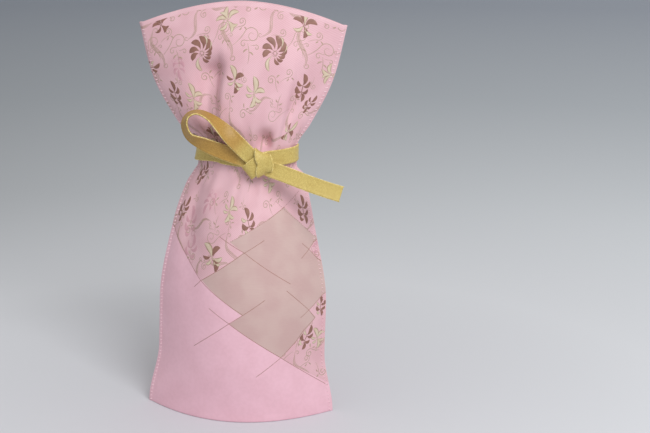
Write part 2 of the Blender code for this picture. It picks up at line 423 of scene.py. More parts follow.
def lay_on_cloth_tree() -> GeometryTree:
    """The tree that lays a flat drawing on both panels of the cloth.

    Returns:
        The tree. Its inputs are the cloth and how far the back panel's island lies from the
        front's.
    """
    tree = GeometryTree("lay_on_cloth", {"Cloth": "Object", "Back Island": "Float"})
    nodes = tree.nodes
    place = nodes.add("GeometryNodeInputPosition").outputs[0]
    flat = tree.store(tree.get("Geometry"), "cloth", "FLOAT2", "CORNER", place)
    flat = tree.store(flat, "raise", "FLOAT", "POINT", nodes.split(place)[2])
    shift = nodes.add("ShaderNodeCombineXYZ", X=tree.get("Back Island")).outputs[0]
    back = nodes.add("GeometryNodeSetPosition", Geometry=flat, Offset=shift).outputs[0]
    both = nodes.add("GeometryNodeJoinGeometry")
    for panel in (flat, back):
        nodes.set(both.inputs[0], panel)
    cloth = nodes.add("GeometryNodeObjectInfo", Object=tree.get("Cloth")).outputs["Geometry"]
    sampled = {"Mesh": cloth, "UV_Map": tree.read("lay", "FLOAT_VECTOR"), "Sample_UV": place}
    found = []
    for kind in ("GeometryNodeInputPosition", "GeometryNodeInputNormal"):
        value = nodes.add(kind).outputs[0]
        settings = {"data_type": "FLOAT_VECTOR"}
        sample = nodes.add("GeometryNodeSampleUVSurface", settings, Value=value, **sampled)
        found.append(sample.outputs[0])
    normal = nodes.vector("NORMALIZE", found[1])
    final = nodes.vector("ADD", found[0], nodes.scale(normal, tree.read("raise")))
    laid = nodes.add("GeometryNodeSetPosition", Geometry=both.outputs[0], Position=final)
    tree.finish(tree.store(laid.outputs[0], "facing", "FLOAT_VECTOR", "POINT", normal))
    return tree


def lay_out_tree() -> GeometryTree:
    """The tree that sets a figure on each point, by the point's kind, turn and size.

    Returns:
        The tree. Its input is the collection of figures.
    """
    tree = GeometryTree("lay_out_figures", {"Figures": "Collection"})
    nodes = tree.nodes
    parted = {"Separate_Children": True, "Reset_Children": True}
    figures = nodes.add("GeometryNodeCollectionInfo", Collection=tree.get("Figures"), **parted)
    turn = nodes.add("ShaderNodeCombineXYZ", Z=tree.read("turn")).outputs[0]
    size = tree.read("size")
    placed = nodes.add(
        "GeometryNodeInstanceOnPoints",
        Points=tree.get("Geometry"),
        Instance=figures.outputs[0],
        Pick_Instance=True,
        Instance_Index=tree.read("kind", "INT"),
        Rotation=nodes.add("FunctionNodeEulerToRotation", Euler=turn).outputs[0],
        Scale=nodes.add("ShaderNodeCombineXYZ", X=size, Y=size, Z=1.0).outputs[0],
    )
    tree.finish(placed.outputs[0])
    return tree


def along_line_tree() -> GeometryTree:
    """The tree that sets a small shape at even steps along lines.

    Returns:
        The tree. Its inputs are the shape and the step. A line's attribute "facing" says which
        way is up.
    """
    tree = GeometryTree("set_along_lines", {"Shape": "Object", "Step": "Float"})
    nodes = tree.nodes
    curve = nodes.add("GeometryNodeMeshToCurve", Mesh=tree.get("Geometry")).outputs[0]
    inputs = {"Curve": curve, "Length": tree.get("Step")}
    even = nodes.add("GeometryNodeResampleCurve", {"mode": "LENGTH"}, **inputs).outputs[0]
    align = "FunctionNodeAlignRotationToVector"
    up = nodes.add(align, {"axis": "Z"}, Vector=tree.read("facing", "FLOAT_VECTOR")).outputs[0]
    tangent = nodes.add("GeometryNodeInputTangent").outputs[0]
    settings = {"axis": "X", "pivot_axis": "Z"}
    turned = nodes.add(align, settings, Rotation=up, Vector=tangent).outputs[0]
    shape = nodes.add("GeometryNodeObjectInfo", Object=tree.get("Shape")).outputs["Geometry"]
    inputs = {"Points": even, "Instance": shape, "Rotation": turned}
    tree.finish(nodes.add("GeometryNodeInstanceOnPoints", **inputs).outputs[0])
    return tree


@dataclass(frozen=True)
class Loom:
    """The trees that set repeated shapes and lay them on the cloth."""

    lay_out: GeometryTree = field(default_factory=lay_out_tree)
    lay_on: GeometryTree = field(default_factory=lay_on_cloth_tree)
    along: GeometryTree = field(default_factory=along_line_tree)


@dataclass(frozen=True)
class Level:
    """One level of the pouch: its height, sizes, sideways shift, fullness and seam allowance."""

    height: float
    width: float
    depth: float
    shift: float
    fullness: float
    allowance: float


@dataclass(frozen=True)
class Fold:
    """A soft fold pressed into a panel, steeper on one side where it is skewed.

    Across and spread are shares of the half panel.
    """

    across: float
    rise: float
    spread: float
    up: float
    down: float
    press: float
    lean: float = 0.0
    skew: float = 0.0


class Panel(Enum):
    """The two panels, with the side that each faces."""

    FRONT = -1.0
    BACK = 1.0


WAIST = 0.228
CORNER = 0.343
CLOTH = 0.0016


@dataclass(frozen=True)
class PouchForm:
    """The pouch's shape: the part's own levels and folds, and finer folds on top of them."""

    levels: tuple[Level, ...] = (
        Level(0.0, 0.1672, 0.080, -0.0020, 1.00, 0.0030),
        Level(0.055, 0.1492, 0.091, -0.0010, 0.95, 0.0030),
        Level(0.100, 0.1486, 0.095, 0.0, 0.95, 0.0030),
        Level(0.170, 0.1244, 0.080, 0.001125, 0.90, 0.0030),
        Level(0.205, 0.1052, 0.058, 0.0038, 0.80, 0.0026),
        Level(0.2155, 0.0958, 0.0515, 0.0056, 0.70, 0.0018),
        Level(0.2225, 0.0856, 0.047, 0.0046, 0.62, 0.0012),
        Level(0.2385, 0.0860, 0.047, 0.0045, 0.62, 0.0012),
        Level(0.258, 0.1146, 0.055, 0.001125, 0.80, 0.0030),
        Level(0.299, 0.1564, 0.046, 0.0, 0.90, 0.0030),
        Level(0.343, 0.1776, 0.0084, 0.0, 0.90, 0.0030),
    )
    front: tuple[Fold, ...] = (
        Fold(-0.26, 0.064, 0.14, 0.011, 0.026, 0.60, 2.4, 0.58),
        Fold(-0.45, 0.040, 0.13, 0.030, 0.022, 0.24, 3.1, 0.3),
        Fold(0.40, 0.0165, 0.13, 0.0085, 0.0075, 0.52, 0.0, 0.2),
        Fold(0.80, 0.050, 0.20, 0.032, 0.026, 0.40, -1.0, -0.6),
        Fold(-0.72, -0.034, 0.16, 0.018, 0.040, 0.42, 0.0, 0.2),
        Fold(-0.30, -0.020, 0.13, 0.012, 0.016, 0.08),
        Fold(0.52, -0.023, 0.14, 0.014, 0.020, 0.13),
    )
    back: tuple[Fold, ...] = (
        Fold(-0.55, 0.026, 0.16, 0.034, 0.014, 0.24),
        Fold(-0.05, 0.022, 0.15, 0.040, 0.012, 0.22),
        Fold(0.50, 0.028, 0.16, 0.030, 0.014, 0.24),
        Fold(-0.32, -0.025, 0.16, 0.014, 0.024, 0.13),
        Fold(0.30, -0.027, 0.16, 0.014, 0.028, 0.15),
    )
    fine_front: tuple[Fold, ...] = (
        Fold(-0.20, 0.066, 0.07, 0.007, 0.010, 0.18, 4.0, 0.2),
        Fold(0.655, 0.044, 0.070, 0.026, 0.020, 0.52, -0.6, -0.5),
        Fold(-0.60, -0.066, 0.15, 0.030, 0.045, 0.10, -1.2),
        Fold(-0.72, 0.020, 0.07, 0.016, 0.008, 0.10, 2.0),
        Fold(-0.14, 0.017, 0.06, 0.014, 0.007, 0.07, -1.5),
        Fold(0.12, 0.018, 0.06, 0.012, 0.007, 0.06),
        Fold(0.30, 0.016, 0.06, 0.015, 0.006, 0.07, 1.5),
        Fold(0.82, 0.022, 0.06, 0.018, 0.009, 0.10, -2.0),
        Fold(-0.56, -0.016, 0.06, 0.007, 0.013, 0.08, 1.0),
        Fold(-0.06, -0.015, 0.05, 0.006, 0.012, 0.05),
        Fold(0.20, -0.017, 0.06, 0.007, 0.014, 0.06, -1.0),
        Fold(0.74, -0.018, 0.06, 0.008, 0.016, 0.09, -1.5),
    )
    fine_back: tuple[Fold, ...] = (
        Fold(-0.80, 0.020, 0.07, 0.016, 0.008, 0.10, 2.0),
        Fold(-0.28, 0.018, 0.06, 0.014, 0.007, 0.08, 1.0),
        Fold(0.22, 0.018, 0.06, 0.016, 0.007, 0.08, -1.0),
        Fold(0.78, 0.021, 0.07, 0.016, 0.008, 0.10, -2.0),
        Fold(-0.62, -0.017, 0.06, 0.007, 0.014, 0.09, 1.0),
        Fold(0.02, -0.016, 0.05, 0.006, 0.013, 0.06),
        Fold(0.62, -0.018, 0.06, 0.008, 0.015, 0.09, -1.0),
    )
    height_rows: int = 600
    halfway: float = 0.5
    top_crown: float = 0.0185
    crown_power: float = 1.8
    cord_half: float = 0.0065

    def profile(self, heights: Array, name: str) -> Array:
        """One field of the levels at any heights, on a smooth curve that never overshoots.

        Args:
            heights: heights along the side seams.
            name: the field.

        Returns:
            The field's value at each height.
        """
        knots = np.array([level.height for level in self.levels])
        values = np.array([getattr(level, name) for level in self.levels])
        rises = np.diff(values) / np.diff(knots)
        low, high = rises[:-1], rises[1:]
        both = np.where(low * high > 0, low + high, 1.0)
        slopes = np.zeros_like(values)
        slopes[1:-1] = np.where(low * high > 0, 2 * low * high / both, 0.0)
        slopes[-1] = rises[-1]
        i = np.clip(np.searchsorted(knots, heights, side="right") - 1, 0, len(knots) - 2)
        span = knots[i + 1] - knots[i]
        t = (heights - knots[i]) / span
        return cubic(t, span, (values[i], values[i + 1]), (slopes[i], slopes[i + 1]))

    def folds(self, panel: Panel) -> tuple[Fold, ...]:
        """All the folds of one panel.

        Args:
            panel: the panel.

        Returns:
            Its folds.
        """
        if panel is Panel.FRONT:
            return self.front + self.fine_front
        return self.back + self.fine_back

    def press(self, panel: Panel, across: Array, heights: Array) -> Array:
        """The share of the panel's bulge that its folds take away, none of it under the cord.

        Args:
            panel: the panel.
            across: places from seam to seam, -1 to 1.
            heights: heights along the side seams.

        Returns:
            A share for each place.
        """
        total = np.zeros(np.broadcast(across, heights).shape)
        for fold in self.folds(panel):
            above = heights - WAIST - fold.rise
            reach = np.where(above > 0, fold.up, fold.down)
            aside = across - fold.across - fold.lean * above
            aside = aside / (fold.spread * (1 - fold.skew * np.sign(aside)))
            total += fold.press * np.exp(-(aside**2) - (above / reach) ** 2)
        return total * smooth_step(self.cord_half, 2 * self.cord_half, np.abs(heights - WAIST))

    def skin(self, panel: Panel, across: Array, heights: Array, inset: float = 0.0) -> Array:
        """Points on a panel's outer face, or on its inner face.

        Args:
            panel: the panel.
            across: places from seam to seam, -1 to 1.
            heights: heights along the side seams.
            inset: 0 for the outer face, or how far inside it the inner face lies.

        Returns:
            One x, y, z for each place.
        """
        half_width = self.profile(heights, "width") / 2
        half_depth = self.profile(heights, "depth") / 2
        turn = np.arctan(2 * half_depth / half_width)
        share = np.sin(turn * across) / np.sin(turn)
        lens = np.maximum(1 - share**2, 0.0) ** self.profile(heights, "fullness")
        seam = 0.0 if inset else CLOTH
        bulge = half_depth - seam - inset
        out = seam + bulge * lens * (1 - self.press(panel, across, heights))
        stitch = half_width - self.profile(heights, "allowance") - inset
        rise = smooth_step(WAIST, CORNER, heights)
        crown = self.top_crown * rise * (1 - np.abs(across) ** self.crown_power)
        x = self.profile(heights, "shift") + stitch * share
        return np.stack(np.broadcast_arrays(x, panel.value * out, heights + crown), -1)

    def cloth_height(self, heights: Array) -> Array:
        """How far up the flat cloth each height lies, halfway between middle and seam.

        Args:
            heights: heights along the side seams.

        Returns:
            One height on the flat cloth for each.
        """
        rows = np.linspace(0.0, CORNER, self.height_rows)
        line = self.skin(Panel.FRONT, np.full_like(rows, self.halfway), rows)
        return np.interp(heights, rows, lengths(line))


STITCH_LINE = 0.0895
FLAT_EDGE = 0.0925
BACK_ISLAND = 0.3
INSIDE_ISLAND = 0.6


@dataclass(frozen=True)
class WovenEdge:
    """A straight edge in the weave, v = slope * u + rise on the flat cloth, in millimetres."""

    slope: float
    rise: float

    def above(self, u: Array, v: Array) -> Array:
        """Whether places on the flat cloth, in millimetres, lie above the edge."""
        return v - self.slope * u - self.rise > 0


@dataclass(frozen=True)
class WeaveDesign:
    """Where each weave lies on a panel. All the edges run on one of two diagonals."""

    plain_left: WovenEdge = WovenEdge(-0.655, 105.8)
    plain_right: WovenEdge = WovenEdge(-0.685, 90.3)
    plain_step: WovenEdge = WovenEdge(0.66, 95.0)
    beige_left: WovenEdge = WovenEdge(0.635, 149.5)
    beige_step: WovenEdge = WovenEdge(-0.55, 160.3)
    beige_top: WovenEdge = WovenEdge(0.45, 166.5)
    beige_right: WovenEdge = WovenEdge(-0.87, 241.0)
    corner_low: WovenEdge = WovenEdge(0.85, 21.0)
    corner_high: WovenEdge = WovenEdge(0.60, 54.5)
    corner_step: WovenEdge = WovenEdge(-0.95, 167.5)
    wedge_low: WovenEdge = WovenEdge(-1.0, 232.0)
    wedge_high: WovenEdge = WovenEdge(0.60, 102.5)

    def edges(self) -> list[WovenEdge]:
        """All the edges."""
        return list(vars(self).values())

    def masks(
        self, above: Callable[[WovenEdge], object], both: Callable, either: Callable, no: Callable
    ) -> tuple[object, object]:
        """The plain and the beige weave, put together from edges.

        Args:
            above: gives what lies above an edge.
            both: joins two of its results into what lies in both.
            either: joins two into what lies in one or the other.
            no: turns one round.

        Returns:
            What is plain and what is beige, of the kind that above gives.
        """
        notch = both(no(above(self.plain_left)), above(self.plain_step))
        plain = either(no(above(self.plain_right)), notch)
        inside = both(above(self.plain_right), above(self.corner_low))
        inside = both(inside, both(no(above(self.beige_top)), no(above(self.beige_right))))
        left = both(above(self.beige_left), no(above(self.beige_step)))
        corner = both(above(self.corner_step), no(above(self.corner_high)))
        wedge = both(above(self.wedge_low), no(above(self.wedge_high)))
        outside = either(either(notch, left), either(corner, wedge))
        return plain, both(inside, no(outside))

    def is_brocade(self, u: Array, v: Array) -> Array:
        """Whether places on the flat cloth, in millimetres, are in the brocade.

        Args:
            u: places across the cloth.
            v: places up it.

        Returns:
            True where they are.
        """
        plain, beige = self.masks(
            lambda edge: edge.above(u, v), np.logical_and, np.logical_or, np.logical_not
        )
        return ~(plain | beige)


Strip = tuple[Array, Array, Array, int]


@dataclass
class Pouch:
    """The cloth: one closed shell, up its outer faces, over the mouth's rim and down inside.

    Each place in the flange's section is millimetres in from the edge and a share of the cloth.
    """

    form: PouchForm
    columns: int = 110
    row_pitch: float = 0.0016
    inside_rows: int = 72
    fold_radius: float = 0.0013
    fold_share: float = 0.6
    fold_steps: int = 5
    rim_steps: int = 6
    base_rows: int = 26
    inside_base_rows: int = 10
    base_lift: float = 0.0007
    base_opens: tuple[float, float] = (0.002, 0.030)
    base_apart: float = 0.001
    flange: tuple[tuple[float, float], ...] = (
        (0.18, 0.0), (0.04, 0.08), (0.0, 0.18), (0.12, 0.30), (0.5, 0.42), (1.0, 0.58),
        (1.6, 0.78), (2.2, 0.96), (2.6, 0.93),
    )
    allowance: float = 0.0030
    seam_lean: float = 0.0013

    def across(self) -> Array:
        """Places of a panel's columns: -1 to 1 between the stitches, and flanges beyond."""
        steps = np.array([2 - inset / PER_METRE / self.allowance for inset, _ in self.flange])
        return np.concatenate([-steps, np.linspace(-1, 1, self.columns + 1), steps[::-1]])

    def outer(self, panel: Panel, heights: Array) -> Array:
        """Points of a panel's outer face, rows by columns, with its flat seam flanges.

        Args:
            panel: the panel.
            heights: heights along the side seams.

        Returns:
            The points.
        """
        columns = self.across()
        rows = heights[:, None]
        points = self.form.skin(panel, np.clip(columns, -1, 1)[None, :], rows)
        half = self.form.profile(rows, "width") / 2
        scale = self.form.profile(rows, "allowance") / self.allowance
        shift = self.form.profile(rows, "shift")
        for k, (inset, share) in enumerate(self.flange):
            for column, side in ((k, -1), (len(columns) - 1 - k, 1)):
                points[:, column, 0] = (shift + side * (half - inset * MM * scale))[:, 0]
                points[:, column, 1] = panel.value * CLOTH * share
        return points

    def inner(self, panel: Panel, heights: Array) -> Array:
        """Points of a panel's inner face, one for each outer column."""
        columns = np.clip(self.across(), -1, 1)[None, :]
        return self.form.skin(panel, columns, heights[:, None], CLOTH)

    def flat_across(self) -> Array:
        """How far from the cloth's middle line each column lies on the flat cloth.

        Returns:
            One distance for each column, less than 0 on the left.
        """
        columns = self.across()
        beyond = np.abs(columns) - 1
        flange = STITCH_LINE + beyond * (FLAT_EDGE - STITCH_LINE)
        return np.where(beyond > 0, np.sign(columns) * flange, columns * STITCH_LINE)

    def foot_fold(self, panel: Panel) -> Array:
        """The rounded fold between a panel and the base, from just under it to the floor.

        Args:
            panel: the panel.

        Returns:
            The points, rows by columns.
        """
        turns = np.linspace(0, math.pi / 2, self.fold_steps + 1)[1:]
        points = self.outer(panel, self.fold_radius * (1 - np.sin(turns)))
        radius = np.minimum(self.fold_radius, self.fold_share * np.abs(points[:, :, 1]))
        points[:, :, 1] -= panel.value * radius * (1 - np.cos(turns))[:, None]
        return points

    def rows(self) -> Array:
        """Heights of a panel's outer rows, from the foot's fold to just under the rim.

        Returns:
            The heights.
        """
        top = CORNER - CLOTH / 2
        count = round((top - self.fold_radius) / self.row_pitch)
        return np.linspace(self.fold_radius, top, count + 1)

    def strips(self) -> list[Strip]:
        """The shell as strips of rows, in order round the cloth.

        Returns:
            For each strip its points, its places on the flat cloth, its places with every island
            apart, and its material's number.
        """
        rows = self.rows()
        inside = np.linspace(CLOTH, CORNER - CLOTH / 2, self.inside_rows)
        flat = self.flat_across()
        made = []
        feet = []
        for panel, island in ((Panel.FRONT, 0.0), (Panel.BACK, BACK_ISLAND)):
            across = -panel.value * flat
            fold = self.foot_fold(panel)[::-1]
            wall = np.concatenate([fold, self.outer(panel, rows)])
            up = self.form.cloth_height(np.concatenate([fold[:, 0, 2], rows]))
            cloth = np.stack(np.meshgrid(across, up), -1)
            made.append((wall, cloth, cloth + (island, 0), 0))
            lining = self.inner(panel, inside)
            deep = np.stack(np.meshgrid(across, self.form.cloth_height(inside)), -1)
            made.append((lining, deep, deep + (island + INSIDE_ISLAND, 0), 1))
            made.append(self.rim(wall[-1], lining[-1], cloth[-1], island))
            feet.append((wall[0], lining[0]))
        for slot, count in enumerate((self.base_rows, self.inside_base_rows)):
            made.append(self.base(feet[0][slot], feet[1][slot], flat, count, slot))
        for points, *_ in made:
            self.lean(points)
        return made

    def lean(self, points: Array) -> None:
        """Lean the seam flanges back a little, with both their faces.

        Args:
            points: the points of one strip, which are changed.
        """
        heights = np.clip(points[..., 2], 0.0, CORNER)
        allowance = self.form.profile(heights, "allowance")
        stitch = self.form.profile(heights, "width") / 2 - allowance
        beyond = np.abs(points[..., 0] - self.form.profile(heights, "shift")) - stitch
        points[..., 1] += self.seam_lean * np.clip(beyond / self.allowance, 0.0, 1.0)

    def rim(self, outer: Array, inner: Array, cloth: Array, island: float) -> Strip:
        """The rounded top edge of a panel, from its outer face over to its inner face.

        Args:
            outer: the last row of the outer face.
            inner: the last row of the inner face.
            cloth: the outer row's places on the flat cloth.
            island: how far its island lies from the first.

        Returns:
            The strip.
        """
        turns = np.linspace(0, math.pi, self.rim_steps + 1)[:, None, None]
        middle, reach = (outer + inner) / 2, (outer - inner) / 2
        points = middle + reach * np.cos(turns) + np.array([0, 0, CLOTH / 2]) * np.sin(turns)
        up = np.linspace(0, math.pi / 2 * CLOTH, self.rim_steps + 1)[:, None, None]
        places = cloth[None] + up * np.array([0, 1])
        return points, places, places + (island, 0), 0

    def base(self, front: Array, back: Array, flat: Array, count: int, slot: int) -> Strip:
        """The base between the two folds, lifted a little off the floor in its middle.

        Args:
            front: the row at the front fold.
            back: the row at the back fold.
            flat: how far across the flat cloth each column lies.
            count: how many rows of faces it has.
            slot: 0 for the underside, 1 for the inside.

        Returns:
            The strip.
        """
        t = np.linspace(0, 1, count + 1)[:, None]
        points = front[None] * (1 - t[..., None]) + back[None] * t[..., None]
        span = np.abs(back[:, 1] - front[:, 1])
        open_here = smooth_step(*self.base_opens, span)
        points[:, :, 2] += self.base_lift * (4 * t * (1 - t)) ** 0.5 * open_here
        along = -t * span[None, :] - self.base_apart
        places = np.stack(np.broadcast_arrays(flat[None, :], along), -1)
        return points, places, places + (INSIDE_ISLAND * slot, 0.0), slot

    def build(self, finish: Material, reverse: Material) -> Object:
        """Make the cloth.

        Args:
            finish: the material of its face.
            reverse: the material of its inside.

        Returns:
            The piece, with the UV maps "cloth" and "lay".
        """
        points, faces, cloth, lay, slots = [], [], [], [], []
        start = 0
        for strip, places, apart, slot in self.strips():
            rows, columns = strip.shape[:2]
            first = np.arange(rows - 1)[:, None] * columns + np.arange(columns - 1)[None, :]
            quads = np.stack([first, first + 1, first + columns + 1, first + columns], -1)
            quads = quads.reshape(-1, 4)
            points.append(strip.reshape(-1, 3))
            faces.append(quads + start)
            cloth.append(places.reshape(-1, 2)[quads])
            lay.append(apart.reshape(-1, 2)[quads])
            slots.append(np.full(len(quads), slot))
            start += rows * columns
        obj = mesh_object("bag_brocade", np.concatenate(points), np.concatenate(faces))
        for name, corners in (("cloth", cloth), ("lay", lay)):
            layer = obj.data.uv_layers.new(name=name)
            layer.uv.foreach_set("vector", np.concatenate(corners).astype(np.float32).ravel())
        obj.data.polygons.foreach_set("material_index", np.concatenate(slots).astype(np.int32))
        for material in (finish, reverse):
            obj.data.materials.append(material)
        weld(obj)
        return obj


class Thread(Enum):
    """The threads that the pattern is woven with, each a piece of its own."""

    BROWN = "woven_brown"
    IVORY = "woven_ivory"
    SCROLL = "woven_scrolls"
    SHADE = "woven_shade"
    LINE = "woven_lines"


Section = tuple[tuple[float, float], ...]
LEAF_SECTION: Section = ((-1, 0), (-0.72, 0.75), (0, 1), (0.72, 0.75), (1, 0))
LINE_SECTION: Section = ((-1, 0), (0, 1), (1, 0))


@dataclass
class Drawing:
    """A flat drawing in millimetres, in strips that are a little raised along their middle."""

    points: list[Place] = field(default_factory=list)
    faces: list[tuple[int, ...]] = field(default_factory=list)
    sunk: float = -0.07
    proud: float = 0.13
    leaf_step: float = 1.1
    leaf_fullness: float = 0.7
    leaf_share: float = 0.6
    least_half: float = 0.04
    taper_turn: tuple[float, float] = (0.3, math.pi - 0.15)
    taper_gain: float = 1.2
    taper_least: float = 0.3
    dash_step: float = 1.3
    turn_steps: int = 18
    wound: float = 0.8
    wound_power: float = 0.85
    stem_step: float = 1.4
    stem_bend: float = 0.28

    def strip(self, spine: Array, halves: Array, section: Section) -> None:
        """Draw one strip.

        Args:
            spine: its middle line, one x, y a row.
            halves: half its width at each point of the line.
            section: places across it, -1 to 1, each with its height from 0, sunk, to 1, proud.
        """
        start, count = len(self.points), len(section)
        for middle, half, side in zip(spine, halves, left_of(unit(np.gradient(spine, axis=0)))):
            for share, level in section:
                x, y = middle + side * half * share
                self.points.append((x, y, self.sunk + level * (self.proud - self.sunk)))
        for row in range(len(spine) - 1):
            for k in range(count - 1):
                a = start + row * count + k
                self.faces.append((a, a + count, a + count + 1, a + 1))

    def leaf(self, start: Spot, end: Spot, bend: float, width: float, belly: float = 0.55) -> None:
        """Draw a pointed leaf or petal between two points.

        Args:
            start: its foot.
            end: its tip.
            bend: how far its middle lies to the left of the straight line.
            width: its greatest width.
            belly: where along it that is, as a share.
        """
        a, b = np.array(start, float), np.array(end, float)
        reach = max(float(np.linalg.norm(b - a)), 1e-6)
        across = np.array([a[1] - b[1], b[0] - a[0]]) / reach
        middle = (a + b) / 2 + across * bend * 2
        t = np.linspace(0, 1, max(5, round(reach / self.leaf_step)) + 1)[:, None]
        spine = a * (1 - t) ** 2 + middle * 2 * t * (1 - t) + b * t**2
        swell = t[:, 0] ** (math.log(0.5) / math.log(belly))
        shape = np.sin(np.pi * swell) ** self.leaf_fullness
        halves = np.maximum(shape * width * self.leaf_share, self.least_half)
        self.strip(spine, halves, LEAF_SECTION)

    def stroke(self, spine: Sequence[Spot], width: float, taper: bool = False) -> None:
        """Draw a thin line along points, thinner at its ends where it tapers.

        Args:
            spine: its points.
            width: its width.
            taper: whether it grows thin at its ends.
        """
        line = np.array(spine, float)
        share = np.ones(len(line))
        if taper:
            swell = np.sin(np.linspace(*self.taper_turn, len(line))) * self.taper_gain
            share = np.clip(swell, self.taper_least, 1)
        self.strip(line, width / 2 * share, LINE_SECTION)

    def dashes(self, line: Sequence[Spot], width: float, dash: float, gap: float) -> None:
        """Draw a straight or bent line as dashes of one length.

        Args:
            line: its corners.
            width: its width.
            dash: a dash's length.
            gap: the gap between two.
        """
        corners = np.array(line, float)
        reach = lengths(corners)
        count = max(2, round(dash / self.dash_step)) + 1
        for start in np.arange(0.0, reach[-1] - dash / 3, dash + gap):
            t = np.linspace(start, min(start + dash, reach[-1]), count)
            spots = [np.interp(t, reach, corners[:, axis]) for axis in (0, 1)]
            self.stroke(np.stack(spots, -1), width)

    def curl(
        self,
        middle: Spot,
        radius: float,
        start: float,
        turns: float,
        width: float,
        tail: float = 0.0,
    ) -> None:
        """Draw a spiral that winds inward.

        Args:
            middle: its middle.
            radius: its outer radius.
            start: the angle of its outer end, in degrees.
            turns: how many turns it makes, less than 0 clockwise.
            width: the line's width.
            tail: the length of the stem that leads into it.
        """
        t = np.linspace(0, 1, max(12, round(abs(turns) * self.turn_steps)) + 1)
        angle = math.radians(start) + t * turns * 2 * math.pi
        reach = radius * (1 - self.wound * t**self.wound_power)
        spots = [middle[0] + reach * np.cos(angle), middle[1] + reach * np.sin(angle)]
        spots = np.stack(spots, -1)
        if tail:
            along = spots[0] - spots[1]
            along /= np.linalg.norm(along)
            side = np.array([-along[1], along[0]]) * math.copysign(1, turns)
            s = np.linspace(1, 0, round(tail / self.stem_step) + 1)[:-1, None]
            stem = spots[0] + along * tail * s + side * tail * self.stem_bend * s**2
            spots = np.concatenate([stem, spots])
        self.stroke(spots, width, taper=True)


class Kind(Enum):
    """The figures of the pattern, numbered as the tree picks them."""

    BLOSSOM = 0
    SPRIG_BROWN = 1
    SPRIG_MIXED = 2
    BROAD_IVORY = 3
    BROAD_MIXED = 4
    SPRAY_BROWN = 5
    SPRAY_IVORY = 6
    SPRAY_MIXED = 7
    SPIRAL = 8
    CURL = 9
    FEATHER = 10
    TONAL = 11


Leaf = tuple[Spot, Spot, float, float]
Figure = dict[Thread, Drawing]


